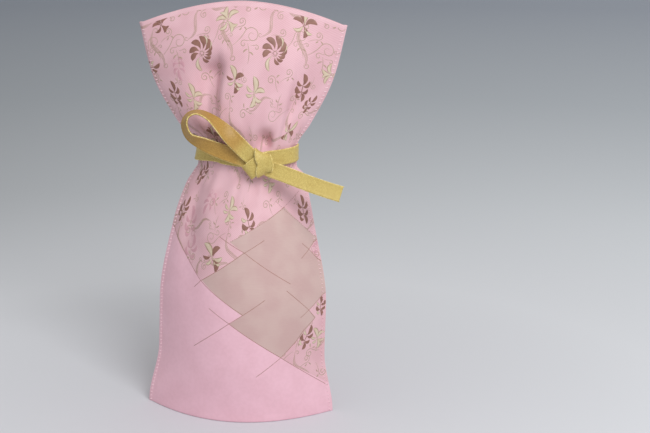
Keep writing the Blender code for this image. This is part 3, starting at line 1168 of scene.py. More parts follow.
@dataclass(frozen=True)
class Figures:
    """The figures themselves: blossoms, sprigs and scrolls in the traditional vine style."""

    sprig: tuple[Leaf, ...] = (
        ((0.2, 2.4), (-0.6, 13.4), -2.2, 4.6),
        ((0.6, 1.2), (6.6, 6.6), -2.6, 3.8),
        ((-0.5, 2.2), (-5.8, 6.8), 1.9, 3.2),
        ((-0.4, -4.0), (-6.2, 1.6), 2.8, 4.6),
        ((0.6, -4.2), (6.0, -0.8), -2.4, 3.4),
        ((-0.4, -8.6), (-5.4, -5.0), 2.2, 3.2),
        ((0.2, -5.4), (1.8, -13.6), 1.9, 4.0),
    )
    broad: tuple[Leaf, ...] = (
        ((0.0, 0.6), (-1.6, 14.0), -2.6, 5.6),
        ((1.2, -0.2), (11.4, 1.4), 2.6, 4.6),
        ((1.2, -1.4), (8.8, -5.6), -2.2, 3.8),
        ((-0.8, 1.6), (-7.4, 6.4), 1.6, 2.8),
        ((-1.0, -0.6), (-8.4, -0.4), 1.6, 2.9),
        ((-0.6, -1.8), (-3.8, -11.0), 2.8, 5.0),
        ((0.6, -2.4), (4.0, -9.4), -2.0, 3.2),
    )
    spray: tuple[Leaf, ...] = (
        ((-1.0, 0.2), (-10.6, 1.8), -2.6, 3.8),
        ((-1.2, -1.0), (-8.8, -5.6), 2.6, 3.4),
        ((-0.6, 1.2), (-6.4, 7.6), -1.9, 3.2),
        ((0.4, 1.4), (1.6, 11.2), 1.9, 4.4),
        ((1.2, 0.2), (10.8, 4.6), 3.2, 4.4),
        ((1.0, -1.2), (8.6, -4.8), -2.6, 3.6),
        ((0.0, -1.4), (1.8, -10.8), 2.2, 4.2),
    )
    thread_width: float = 0.95
    stem_width: float = 1.3
    twig_width: float = 0.9
    fine_width: float = 0.6
    barb_width: float = 0.62
    petal_turns: tuple[float, float] = (-6, 24)
    petal_bend: float = 0.27
    petal_belly: float = 0.62

    def leaves(self, leaves: tuple[Leaf, ...], threads: tuple[Thread, ...]) -> Figure:
        """A figure of leaves, each woven with the next of the threads in turn.

        Args:
            leaves: the leaves.
            threads: the threads, the first also for the stem.

        Returns:
            The drawing of each thread.
        """
        figure: Figure = {}
        for number, leaf in enumerate(leaves):
            figure.setdefault(threads[number % len(threads)], Drawing()).leaf(*leaf)
        feet = sorted((leaf[0] for leaf in leaves), key=lambda foot: foot[1])
        middle = np.array([(0.35 * x, y) for x, y in feet])
        stem = figure[threads[0]]
        stem.stroke(middle, self.stem_width, taper=True)
        for (x, y), (inner, level) in zip(feet, middle):
            if abs(x - inner) > 0.3:
                joint = (0.6 * x, 0.8 * y + 0.2 * level)
                stem.stroke([(x, y), joint, (inner, level)], self.twig_width)
        return figure

    def blossom(self) -> Figure:
        """A pinwheel of crescent petals, large at the upper left, small at the lower right.

        Returns:
            The drawing of each thread.
        """
        brown, ivory, scroll = Drawing(), Drawing(), Drawing()
        for angle, far in ((186, 11.2), (150, 12.2), (113, 14.0), (76, 14.2), (40, 12.8)):
            self.petal(brown, angle, 3.2, far, 4.9)
        for angle, far in ((8, 11.2), (-20, 9.4), (-48, 9.2), (-76, 9.8)):
            self.petal(brown, angle, 3.4, far, 3.0)
        for petal in ((-122, 3.8, 15.6, 3.8), (58, 7.2, 14.4, 1.8), (22, 7.6, 12.4, 1.4)):
            self.petal(ivory, *petal)
        for angle in range(0, 360, 60):
            turn = math.radians(angle)
            middle = (1.9 * math.cos(turn), 1.9 * math.sin(turn))
            brown.curl(middle, 0.95, angle, 1.0, self.fine_width)
        scroll.curl((0.0, 0.0), 3.4, 200, 0.95, self.fine_width)
        return {Thread.BROWN: brown, Thread.IVORY: ivory, Thread.SCROLL: scroll}

    def petal(self, drawing: Drawing, angle: float, near: float, far: float, width: float) -> None:
        """Draw one petal that hooks round anticlockwise as it leaves the core.

        Args:
            drawing: what it is drawn in.
            angle: its direction, in degrees.
            near: how far out its foot lies.
            far: how far out its tip lies.
            width: its greatest width.
        """
        foot, tip = (math.radians(angle + turn) for turn in self.petal_turns)
        start = (near * math.cos(foot), near * math.sin(foot))
        end = (far * math.cos(tip), far * math.sin(tip))
        drawing.leaf(start, end, (near - far) * self.petal_bend, width, self.petal_belly)

    def spiral(self) -> Figure:
        """A large scroll with its stem, a side shoot and a small curl at its foot.

        Returns:
            The drawing of each thread.
        """
        scroll, width = Drawing(), self.thread_width
        scroll.curl((2.0, 0.0), 7.6, 168, -1.35, width, 15)
        scroll.curl((-5.4, -7.0), 3.2, 60, 1.1, width, 5)
        scroll.curl((6.8, -9.4), 2.4, 130, -1.1, width, 4)
        t = np.linspace(0, 1, 13)
        scroll.stroke([(-1.6 + 1.9 * math.sin(s * 2.6), -6.6 - 16.0 * s) for s in t], width, True)
        scroll.leaf((-1.0, -11.0), (-5.4, -14.2), -0.7, 1.3)
        scroll.leaf((0.0, -13.4), (4.2, -15.8), 0.7, 1.3)
        return {Thread.SCROLL: scroll}

    def small_curl(self) -> Figure:
        """A small scroll with a doubled line and two leaflets.

        Returns:
            The drawing of each thread.
        """
        scroll = Drawing()
        scroll.curl((0.0, 0.0), 4.6, 200, 1.25, self.thread_width, 9)
        scroll.curl((0.2, 0.3), 2.9, 150, 0.7, self.thread_width * 0.8)
        scroll.leaf((-4.4, -2.6), (-8.0, -1.8), 0.5, 1.2)
        scroll.leaf((-3.2, -4.4), (-4.2, -8.2), 0.5, 1.2)
        return {Thread.SCROLL: scroll}

    def feather(self) -> Figure:
        """A long S of small barbs beside a thin line, ending in a curl.

        Returns:
            The drawing of each thread.
        """
        scroll = Drawing()
        t = np.linspace(0, 1, 45)
        line = np.stack([-4.6 * np.sin(t * 2 * math.pi * 0.85), 17.0 - 34.0 * t], -1)
        along = unit(np.gradient(line, axis=0))
        beside = line + left_of(along) * (0.5 + 2.6 * np.sin(np.pi * t))[:, None]
        scroll.stroke(line, self.thread_width * 0.9, taper=True)
        scroll.stroke(beside, self.thread_width * 0.7, taper=True)
        for spot, (ax, ay), share in zip(line, along, t):
            reach = 3.1 * math.sin(math.pi * min(max(share, 0.05), 0.95)) + 0.6
            barb = np.array([-ay * 0.8 + ax * 0.6, ax * 0.8 + ay * 0.6]) * reach
            barb_line = [spot + barb * part for part in (0.2, 0.6, 1.0)]
            scroll.stroke(barb_line, self.barb_width, taper=True)
        scroll.curl((3.4, 17.0), 3.0, 190, -1.1, self.thread_width)
        scroll.curl((6.2, -16.6), 3.0, 170, 1.1, self.thread_width)
        return {Thread.SCROLL: scroll}

    def tonal(self) -> Figure:
        """A spray of leaves in the ground's own colour, a shade darker.

        Returns:
            The drawing of each thread.
        """
        shade = Drawing(proud=0.09)
        for foot, (x, y), bend, width in self.sprig[:6]:
            shade.leaf(foot, (x * 1.2, y * 1.2), bend * 1.2, width)
        shade.curl((4.6, -8.6), 4.4, 120, -1.2, 1.3, 6)
        return {Thread.SHADE: shade}

    def drawn(self, kind: Kind) -> Figure:
        """The drawing of one kind of figure.

        Args:
            kind: the kind.

        Returns:
            The drawing of each thread.
        """
        brown, ivory = Thread.BROWN, Thread.IVORY
        return {
            Kind.BLOSSOM: self.blossom,
            Kind.SPRIG_BROWN: lambda: self.leaves(self.sprig, (brown,)),
            Kind.SPRIG_MIXED: lambda: self.leaves(self.sprig, (brown, brown, ivory)),
            Kind.BROAD_IVORY: lambda: self.leaves(self.broad, (ivory,)),
            Kind.BROAD_MIXED: lambda: self.leaves(self.broad, (ivory, brown)),
            Kind.SPRAY_BROWN: lambda: self.leaves(self.spray, (brown,)),
            Kind.SPRAY_IVORY: lambda: self.leaves(self.spray, (ivory,)),
            Kind.SPRAY_MIXED: lambda: self.leaves(self.spray, (brown, ivory)),
            Kind.SPIRAL: self.spiral,
            Kind.CURL: self.small_curl,
            Kind.FEATHER: self.feather,
            Kind.TONAL: self.tonal,
        }[kind]()


@dataclass(frozen=True)
class Motif:
    """One figure's place on the flat cloth in millimetres, its turn in degrees and its size."""

    u: float
    v: float
    kind: Kind
    turn: float = 0.0
    size: float = 1.0


@dataclass
class Pattern:
    """The woven pattern: where its figures and lines lie on the flat cloth, in millimetres."""

    design: WeaveDesign
    figures: Figures = Figures()
    side_limit: float = 92.2
    top_limit: float = 360.4
    low_limit: float = 30.0
    repeat: tuple[float, float] = (69.0, 108.0)
    first: tuple[float, float] = (-35.0, 324.0)
    across_repeats: range = range(-2, 4)
    up_repeats: range = range(-3, 2)
    scroll_side: float = 104.0
    scroll_top: float = 375.0
    motifs: tuple[Motif, ...] = (
        Motif(-35, 324, Kind.BLOSSOM, 0, 1.0),
        Motif(34, 325, Kind.BLOSSOM, -6, 1.0),
        Motif(-91, 320, Kind.SPRIG_MIXED, -80, 0.8),
        Motif(90, 316, Kind.SPRAY_IVORY, 80, 0.95),
        Motif(-73, 356, Kind.SPRAY_BROWN, 8, 0.78),
        Motif(-11, 349, Kind.SPRAY_IVORY, 10, 1.0),
        Motif(57, 353, Kind.SPRAY_MIXED, -6, 1.0),
        Motif(-73, 292, Kind.SPRIG_BROWN, 0, 0.92),
        Motif(-52, 287, Kind.BROAD_IVORY, 0, 0.95),
        Motif(-3, 301, Kind.BROAD_MIXED, 14, 0.90),
        Motif(17, 291, Kind.BROAD_IVORY, 0, 1.0),
        Motif(65, 299, Kind.SPRIG_BROWN, 6, 0.95),
        Motif(79, 286, Kind.SPRIG_BROWN, -28, 0.72),
        Motif(-42, 253, Kind.SPRAY_MIXED, -20, 0.9),
        Motif(67, 259, Kind.BROAD_MIXED, -40, 0.85),
        Motif(-69, 219, Kind.SPRIG_BROWN, -18, 0.9),
        Motif(36, 215, Kind.BROAD_IVORY, 20, 0.9),
        Motif(-80, 184, Kind.SPRIG_BROWN, -25, 0.95),
        Motif(-11, 190, Kind.BROAD_IVORY, -4, 0.9),
        Motif(13, 181, Kind.SPRIG_MIXED, 24, 1.0),
        Motif(82, 187, Kind.SPRIG_BROWN, 0, 1.0),
        Motif(-25, 149, Kind.BROAD_MIXED, 40, 1.1),
        Motif(71, 74, Kind.SPRIG_MIXED, -30, 0.85),
        Motif(84, 70, Kind.BROAD_IVORY, 20, 0.8),
        Motif(72, 54, Kind.CURL, 60, 0.9),
        Motif(87, 99, Kind.SPRIG_MIXED, 0, 0.7),
        Motif(-60, 315, Kind.TONAL, 184, 0.75),
        Motif(-62, 172, Kind.TONAL, 12, 1.0),
        Motif(-54, 150, Kind.TONAL, -8, 0.9),
        Motif(-40, 196, Kind.TONAL, 160, 0.8),
        Motif(85, 152, Kind.TONAL, 0, 0.8),
        Motif(82, 232, Kind.TONAL, 170, 0.8),
    )
    scrolls: tuple[Motif, ...] = (
        Motif(-24, 13, Kind.SPIRAL, 0, 1.0),
        Motif(23, 11, Kind.FEATHER, 4, 1.0),
        Motif(5, 19, Kind.CURL, 40, 0.85),
        Motif(-1, -21, Kind.CURL, 150, 1.0),
        Motif(15, -13, Kind.CURL, 70, 0.9),
        Motif(-27, -22, Kind.CURL, 300, 0.7),
        Motif(8, -50, Kind.SPIRAL, 170, 0.85),
        Motif(-28, -50, Kind.CURL, 200, 1.0),
        Motif(31, -62, Kind.FEATHER, 24, 0.9),
        Motif(-14, -70, Kind.CURL, -40, 0.95),
        Motif(24, -36, Kind.CURL, 120, 0.85),
        Motif(20, -90, Kind.SPIRAL, 20, 0.8),
        Motif(-6, -84, Kind.FEATHER, 150, 0.75),
        Motif(18, 36, Kind.FEATHER, 75, 0.7),
        Motif(-10, -40, Kind.FEATHER, -70, 0.7),
        Motif(-32, -84, Kind.CURL, 60, 0.9),
        Motif(2, 32, Kind.CURL, 250, 0.8),
    )
    lines: tuple[tuple[Spot, ...], ...] = (
        ((-42, 120.5), (-35, 127.3), (8, 154), (31.3, 165.2)),
        ((-18.8, 167.7), (9.8, 154.9), (54.6, 124.8)),
        ((-24.2, 104.7), (-4, 92.9), (20.1, 76.7), (45.2, 59.5), (64.4, 45.3), (92.2, 24.3)),
        ((-40.3, 67.4), (-4, 92.9), (8.5, 100.8), (29.1, 113.5)),
        ((50.1, 119.4), (72.9, 98.3), (80.6, 89.5)),
        ((64, 92.9), (72.9, 98.3), (92.2, 110.0)),
        ((21.9, 43.8), (45.2, 59.5), (60, 72.3), (68, 81.1), (80.6, 89.5)),
        ((-92.2, 167.1), (-54, 142), (-35, 127.3), (8.5, 101.3)),
        ((69.8, 145), (81, 151.4), (92.2, 158.4)),
        ((73.4, 157.8), (81, 151.4), (92.2, 138.8)),
    )
    faint_lines: tuple[tuple[Spot, ...], ...] = (
        ((36.7, 182.2), (81, 204.3)),
        ((45.6, 197.2), (67.1, 181.7), (72.5, 178.1), (92.2, 160.8)),
        ((-6.3, 163.7), (24.2, 177.1), (56.8, 191.5)),
    )
    line_width: float = 0.72
    line_proud: float = 0.12
    dash: float = 3.9
    faint_width: float = 0.576
    faint_dash: float = 1.6
    faint_gap: float = 0.9

    def placed(self) -> list[Motif]:
        """Every figure of a panel: the flowers, then the scrolls in their repeats.

        Returns:
            The figures with their places.
        """
        made = list(self.motifs)
        for i in self.across_repeats:
            for j in self.up_repeats:
                for item in self.scrolls:
                    u = self.first[0] + i * self.repeat[0] + item.u
                    v = self.first[1] + j * self.repeat[1] + item.v
                    if abs(u) < self.scroll_side and self.low_limit < v < self.scroll_top:
                        made.append(replace(item, u=u, v=v))
        return made

    def flat(self, thread: Thread, tree: GeometryTree, finish: Material) -> Object:
        """Everything woven with one thread, flat, in metres, and cut to the brocade's outline.

        Args:
            thread: the thread.
            tree: the tree that sets out the figures.
            finish: the thread's material.

        Returns:
            The drawing, as one object.
        """
        collection = bpy.data.collections.new(f"figures_{thread.value}")
        bpy.context.scene.collection.children.link(collection)
        helpers = []
        for kind in Kind:
            drawing = self.figures.drawn(kind).get(thread, Drawing())
            points = np.array(drawing.points or np.zeros((0, 3))) * MM
            part = mesh_object(f"{thread.value}_{kind.value:02d}", points, drawing.faces)
            collection.objects.link(part)
            helpers.append(part)
        spots = self.placed()
        points = mesh_object("spots", np.array([(m.u * MM, m.v * MM, 0.0) for m in spots]), [])
        for name, kind, values in (
            ("kind", "INT", [m.kind.value for m in spots]),
            ("turn", "FLOAT", [math.radians(m.turn) for m in spots]),
            ("size", "FLOAT", [m.size for m in spots]),
        ):
            points.data.attributes.new(name, kind, "POINT").data.foreach_set("value", values)
        flat = tree.apply(points, "flat_figures", {"Figures": collection, "Finish": finish})
        remove(*helpers)
        bpy.data.collections.remove(collection)
        self.trim(flat)
        return flat

    def trim(self, obj: Object) -> None:
        """Cut a flat drawing along the edges of the weaves and keep what lies in the brocade.

        Args:
            obj: the drawing, which is changed.
        """
        bm = bmesh.new()
        bm.from_mesh(obj.data)

        def cut(place: Spot, normal: Spot, clear: bool) -> None:
            """Cut along one line, and drop what is beyond it where clear is set.

            Args:
                place: a place on the line.
                normal: the way across it.
                clear: whether to drop what is beyond.
            """
            bmesh.ops.bisect_plane(
                bm,
                geom=[*bm.verts, *bm.edges, *bm.faces],
                dist=1e-7,
                plane_co=(place[0] * MM, place[1] * MM, 0.0),
                plane_no=(*normal, 0.0),
                clear_outer=clear,
            )

        cut((self.side_limit, 0.0), (1.0, 0.0), True)
        cut((-self.side_limit, 0.0), (-1.0, 0.0), True)
        cut((0.0, self.top_limit), (0.0, 1.0), True)
        cut((0.0, self.low_limit), (0.0, -1.0), True)
        for edge in self.design.edges():
            cut((0.0, edge.rise), (-edge.slope, 1.0), False)
        middles = np.array([face.calc_center_median()[:2] for face in bm.faces]) / MM
        keep = self.design.is_brocade(middles[:, 0], middles[:, 1])
        out = [face for face, kept in zip(list(bm.faces), keep) if not kept]
        bmesh.ops.delete(bm, geom=out, context="FACES")
        bm.to_mesh(obj.data)
        bm.free()

    def drawn_lines(self) -> Object:
        """The thin lines that run on past the corners of the weaves, flat, in metres.

        Returns:
            The drawing.
        """
        drawing = Drawing(proud=self.line_proud)
        for line in self.lines:
            drawing.dashes(line, self.line_width, self.dash, 0.0)
        for line in self.faint_lines:
            drawing.dashes(line, self.faint_width, self.faint_dash, self.faint_gap)
        return mesh_object("flat_lines", np.array(drawing.points) * MM, drawing.faces)

    def build(self, cloth: Object, finishes: dict[Thread, Material], loom: Loom) -> list[Object]:
        """Weave the pattern on the cloth.

        Args:
            cloth: the cloth's piece.
            finishes: the material of each thread.
            loom: the trees that lay it out and on the cloth.

        Returns:
            One piece for each thread.
        """
        made = []
        for thread, finish in finishes.items():
            if thread is Thread.LINE:
                flat = self.drawn_lines()
            else:
                flat = self.flat(thread, loom.lay_out, finish)
            values = {"Cloth": cloth, "Back Island": BACK_ISLAND, "Finish": finish}
            made.append(loom.lay_on.apply(flat, thread.value, values))
        return made


def shader_group(
    name: str, inputs: dict[str, float], outputs: Sequence[str]
) -> tuple[Nodes, Node, Node]:
    """Start a shader group with number inputs and outputs.

    Args:
        name: the group's name.
        inputs: the number that each input starts at. Place stands for a vector.
        outputs: the names of its outputs.

    Returns:
        Its nodes, its input node and its output node.
    """
    group = bpy.data.node_groups.new(name, "ShaderNodeTree")
    for key, value in inputs.items():
        kind = "Vector" if key == "Place" else "Float"
        socket = group.interface.new_socket(key, in_out="INPUT", socket_type=f"NodeSocket{kind}")
        if kind == "Float":
            socket.default_value = value
    for key in outputs:
        group.interface.new_socket(key, in_out="OUTPUT", socket_type="NodeSocketFloat")
    nodes = Nodes(group)
    return nodes, nodes.add("NodeGroupInput"), nodes.add("NodeGroupOutput")


def zone_group(design: WeaveDesign) -> NodeTree:
    """The group that tells the plain and the beige weave from the brocade, by the place.

    Args:
        design: where the weaves' edges lie.

    Returns:
        The group.
    """
    nodes, source, result = shader_group("weave_zones", {"Place": 0.0}, ("Plain", "Beige"))
    u, v, _ = nodes.split(nodes.scale(source.outputs["Place"], PER_METRE))

    def above(edge: WovenEdge) -> Socket:
        """1 above the edge and 0 below it."""
        return nodes.math("GREATER_THAN", nodes.math("MULTIPLY_ADD", u, -edge.slope, v), edge.rise)

    both, either = partial(nodes.math, "MULTIPLY"), partial(nodes.math, "MAXIMUM")
    plain, beige = design.masks(above, both, either, partial(nodes.math, "SUBTRACT", 1.0))
    nodes.set(result.inputs["Plain"], plain)
    nodes.set(result.inputs["Beige"], beige)
    return nodes.tree


SLUB_LENGTH = 9.0


def rib_group() -> NodeTree:
    """The group for fine ribs in a weave: their pitch, direction and how uneven they are.

    Returns:
        The group.
    """
    inputs = {"Place": 0.0, "Pitch": 0.001, "Turn": 0.0, "Uneven": 0.3}
    nodes, source, result = shader_group("woven_ribs", inputs, ("Rib", "Slub"))
    math_node = nodes.math
    turn, pitch = source.outputs["Turn"], source.outputs["Pitch"]
    x, y, _ = nodes.split(source.outputs["Place"])
    cosine, sine = math_node("COSINE", turn), math_node("SINE", turn)
    over = math_node("ADD", math_node("MULTIPLY", x, cosine), math_node("MULTIPLY", y, sine))
    along = math_node("SUBTRACT", math_node("MULTIPLY", y, cosine), math_node("MULTIPLY", x, sine))
    steps = math_node("DIVIDE", over, pitch)
    slow = math_node("DIVIDE", along, math_node("MULTIPLY", pitch, SLUB_LENGTH))
    stretched = nodes.add("ShaderNodeCombineXYZ", X=steps, Y=slow).outputs[0]
    slub = nodes.add("ShaderNodeTexNoise", Vector=stretched, Scale=1.0, Detail=2.0).outputs[0]
    drift = math_node("MULTIPLY", math_node("SUBTRACT", slub, 0.5), source.outputs["Uneven"])
    wave = math_node("SINE", math_node("MULTIPLY", math_node("ADD", steps, drift), 2 * math.pi))
    nodes.set(result.inputs["Rib"], math_node("MULTIPLY_ADD", wave, 0.5, 0.5))
    nodes.set(result.inputs["Slub"], slub)
    return nodes.tree


@dataclass
class Weaving:
    """The groups that the cloth's finishes share."""

    zones: NodeTree
    ribs: NodeTree


@dataclass(frozen=True)
class Surface:
    """How a finish takes the light: its roughness and gloss, its bumps and its sheen.

    Depth is how high the bumps stand, in metres.
    """

    roughness: float
    specular: float = 0.5
    depth: float = 0.0
    strength: float = 1.0
    sheen: float = 0.0
    sheen_roughness: float = 0.5
    tint: Colour = (1.0, 1.0, 1.0, 1.0)


@dataclass
class Finish:
    """A material under way: its nodes, its shader and the place that its looks go by.

    The place is on its own UV map, or in Object coordinates where no map is named.
    """

    name: str
    uv_map: str = ""

    def __post_init__(self) -> None:
        """Make the material."""
        self.material = bpy.data.materials.new(self.name)
        self.material.use_nodes = True
        self.nodes = Nodes(self.material.node_tree)
        self.shader = self.material.node_tree.nodes["Principled BSDF"]
        if self.uv_map:
            self.place = self.nodes.add("ShaderNodeUVMap", {"uv_map": self.uv_map}).outputs[0]
        else:
            self.place = self.nodes.add("ShaderNodeTexCoord").outputs["Object"]

    def set(self, name: str, value: object) -> None:
        """Link or set one of the shader's inputs."""
        self.nodes.set(self.shader.inputs[name], value)

    def group(self, group: NodeTree, **inputs: object) -> Node:
        """Add a group that works on the place."""
        settings = {"node_tree": group}
        return self.nodes.add("ShaderNodeGroup", settings, Place=self.place, **inputs)

    def ribs(self, weaving: Weaving, pitch: float, degrees: float, uneven: float) -> Node:
        """Add ribs, turned by an angle."""
        return self.group(weaving.ribs, Pitch=pitch, Turn=math.radians(degrees), Uneven=uneven)

    def cloud(self, size: float, low: float = 0.35, high: float = 0.65) -> Socket:
        """Soft patches of about one size, in metres, from 0 to 1.

        Args:
            size: their size.
            low: the noise that gives 0.
            high: the noise that gives 1.

        Returns:
            The value.
        """
        noise = self.nodes.add("ShaderNodeTexNoise", Vector=self.place, Scale=1 / size, Detail=1.5)
        return self.nodes.ramp(noise.outputs[0], low, high)

    def light(self, surface: Surface, height: object = None) -> None:
        """Set how the material takes the light, with bumps where a height of 0 to 1 is given.

        Args:
            surface: how it takes the light.
            height: the bumps' height.
        """
        self.set("Roughness", surface.roughness)
        self.set("Specular IOR Level", surface.specular)
        self.set("Sheen Weight", surface.sheen)
        self.set("Sheen Roughness", surface.sheen_roughness)
        self.set("Sheen Tint", surface.tint)
        if height is not None:
            inputs = {"Height": height, "Distance": surface.depth, "Strength": surface.strength}
            self.set("Normal", self.nodes.add("ShaderNodeBump", **inputs).outputs[0])


@dataclass(frozen=True)
class BrocadeFinish:
    """The face of the cloth: pink twill brocade, plain pink and beige with cross threads, and a
    painted highlight along the side edges and the mouth's rim.
    """

    ground: Colour = srgb(231, 190, 198)
    ground_deep: Colour = srgb(212, 166, 174)
    plain: Colour = srgb(239, 194, 208)
    plain_deep: Colour = srgb(231, 185, 198)
    beige: Colour = srgb(206, 179, 173)
    beige_pink: Colour = srgb(197, 164, 161)
    # The edge colour is a painted highlight where the cloth turns over its side edges and the
    # mouth's rim.
    edge: Colour = srgb(239, 203, 210)
    twill_pitch: float = 0.00135
    weft_pitch: float = 0.00105
    side_highlight: tuple[float, float] = (0.0917, 0.0923)
    top_highlight: tuple[float, float] = (0.3606, 0.3610)
    highlight_share: float = 0.22
    surface: Surface = Surface(0.60, 0.35, 0.00006, 0.6, 0.18, 0.45, srgb(255, 238, 242))

    def build(self, weaving: Weaving) -> Material:
        """Make the material.

        Args:
            weaving: the shared groups.

        Returns:
            The material.
        """
        finish = Finish("pink_brocade", "cloth")
        nodes = finish.nodes
        zones = finish.group(weaving.zones).outputs
        twill = finish.ribs(weaving, self.twill_pitch, -52, 0.25).outputs["Rib"]
        weft = finish.ribs(weaving, self.weft_pitch, 90, 0.9).outputs["Rib"]
        cloud, fine = finish.cloud(0.022), finish.cloud(0.0035)
        ground = nodes.total((cloud, 0.38), (twill, 0.62))
        plain = nodes.total((fine, 0.35), (cloud, 0.5))
        beige = nodes.total((cloud, 0.58), (weft, 0.42))
        colour = nodes.mix(ground, self.ground_deep, self.ground)
        plain = nodes.mix(plain, self.plain_deep, self.plain)
        colour = nodes.mix(zones["Plain"], colour, plain)
        colour = nodes.mix(zones["Beige"], colour, nodes.mix(beige, self.beige_pink, self.beige))
        # Painted highlight: the colour turns paler near the side edges and along the top rim.
        across, up, _ = nodes.split(finish.place)
        side = nodes.ramp(nodes.math("ABSOLUTE", across), *self.side_highlight)
        rim = nodes.math("MAXIMUM", side, nodes.ramp(up, *self.top_highlight))
        rim = nodes.math("MULTIPLY", rim, self.highlight_share)
        finish.set("Base Color", nodes.mix(rim, colour, self.edge))
        other = nodes.math("MAXIMUM", zones["Plain"], zones["Beige"])
        brocade = nodes.math("SUBTRACT", 1.0, other)
        raised = nodes.math("MULTIPLY", twill, nodes.math("MULTIPLY_ADD", brocade, 0.8, 0.2))
        finish.light(self.surface, nodes.math("MULTIPLY_ADD", weft, zones["Beige"], raised))
        rough = nodes.math("MULTIPLY_ADD", zones["Beige"], -0.06, self.surface.roughness)
        finish.set("Roughness", nodes.math("MULTIPLY_ADD", fine, 0.08, rough))
        return finish.material


@dataclass(frozen=True)
class ReverseFinish:
    """The inside of the cloth: a plain pale backing with a fine square weave."""

    colour: Colour = srgb(222, 182, 192)
    deep: Colour = srgb(205, 160, 171)
    pitch: float = 0.0009
    surface: Surface = Surface(0.82, 0.5, 0.00008, 0.6, 0.12, 0.5, srgb(255, 240, 244))

    def build(self, weaving: Weaving) -> Material:
        """Make the material.

        Args:
            weaving: the shared groups.

        Returns:
            The material.
        """
        finish = Finish("brocade_reverse", "cloth")
        ribs = [finish.ribs(weaving, self.pitch, turn, 0.5).outputs["Rib"] for turn in (0, 90)]
        weave = finish.nodes.math("MULTIPLY", *ribs)
        share = finish.nodes.total((finish.cloud(0.02), 0.5), (weave, 0.5))
        finish.set("Base Color", finish.nodes.mix(share, self.deep, self.colour))
        finish.light(self.surface, weave)
        return finish.material


@dataclass(frozen=True)
class ThreadFinish:
    """A pattern thread: satin floats side by side, a darker outline and soft changes of tone.

    The outline is what lies lower than outline_to, in metres.
    """

    name: str
    colour: Colour
    deep: Colour
    outline: Colour
    outline_to: float
    roughness: float = 0.48
    pitch: float = 0.0006
    blur: float = 0.00001

    def build(self, weaving: Weaving) -> Material:
        """Make the material.

        Args:
            weaving: the shared groups.

        Returns:
            The material.
        """
        finish = Finish(self.name, "cloth")
        nodes = finish.nodes
        floats = finish.ribs(weaving, self.pitch, 24, 0.6).outputs["Rib"]
        share = nodes.total((finish.cloud(0.006), 0.55), (floats, 0.45))
        body = nodes.mix(share, self.deep, self.colour)
        height = nodes.add("ShaderNodeAttribute", {"attribute_name": "raise"}).outputs["Fac"]
        inner = nodes.ramp(height, self.outline_to - self.blur, self.outline_to + self.blur)
        finish.set("Base Color", nodes.mix(inner, self.outline, body))
        tint = srgb(255, 244, 235)
        finish.light(Surface(self.roughness, 0.4, 0.00006, 0.5, 0.10, 0.4, tint), floats)
        return finish.material


THREADS: dict[Thread, ThreadFinish] = {
    Thread.BROWN: ThreadFinish(
        "brown_thread", srgb(154, 112, 98), srgb(132, 92, 81), srgb(150, 110, 97), 0.00003
    ),
    Thread.IVORY: ThreadFinish(
        "ivory_thread", srgb(216, 201, 179), srgb(202, 182, 157), srgb(164, 138, 116), 0.00009
    ),
    Thread.SCROLL: ThreadFinish(
        "scroll_thread", srgb(186, 161, 142), srgb(170, 144, 126), srgb(178, 151, 134), 0.0, 0.55
    ),
    Thread.SHADE: ThreadFinish(
        "shade_thread", srgb(214, 164, 175), srgb(204, 152, 163), srgb(210, 160, 170), 0.0, 0.55
    ),
    Thread.LINE: ThreadFinish(
        "line_thread", srgb(170, 124, 110), srgb(150, 105, 93), srgb(160, 114, 101), 0.0, 0.55
    ),
}


@dataclass(frozen=True)
class StitchFinish:
    """Smooth light pink sewing thread, twisted."""

    colour: Colour = srgb(250, 226, 231)
    deep: Colour = srgb(238, 205, 213)
    twists: float = 900.0
    surface: Surface = Surface(0.5, depth=0.00003, strength=0.5)

    def build(self) -> Material:
        """Make the material.

        Returns:
            The material.
        """
        finish = Finish("sewing_thread")
        settings = {"bands_direction": "DIAGONAL"}
        inputs = {"Vector": finish.place, "Scale": self.twists, "Distortion": 1.0}
        wave = finish.nodes.add("ShaderNodeTexWave", settings, **inputs).outputs["Fac"]
        finish.set("Base Color", finish.nodes.mix(wave, self.deep, self.colour))
        finish.light(self.surface, wave)
        return finish.material


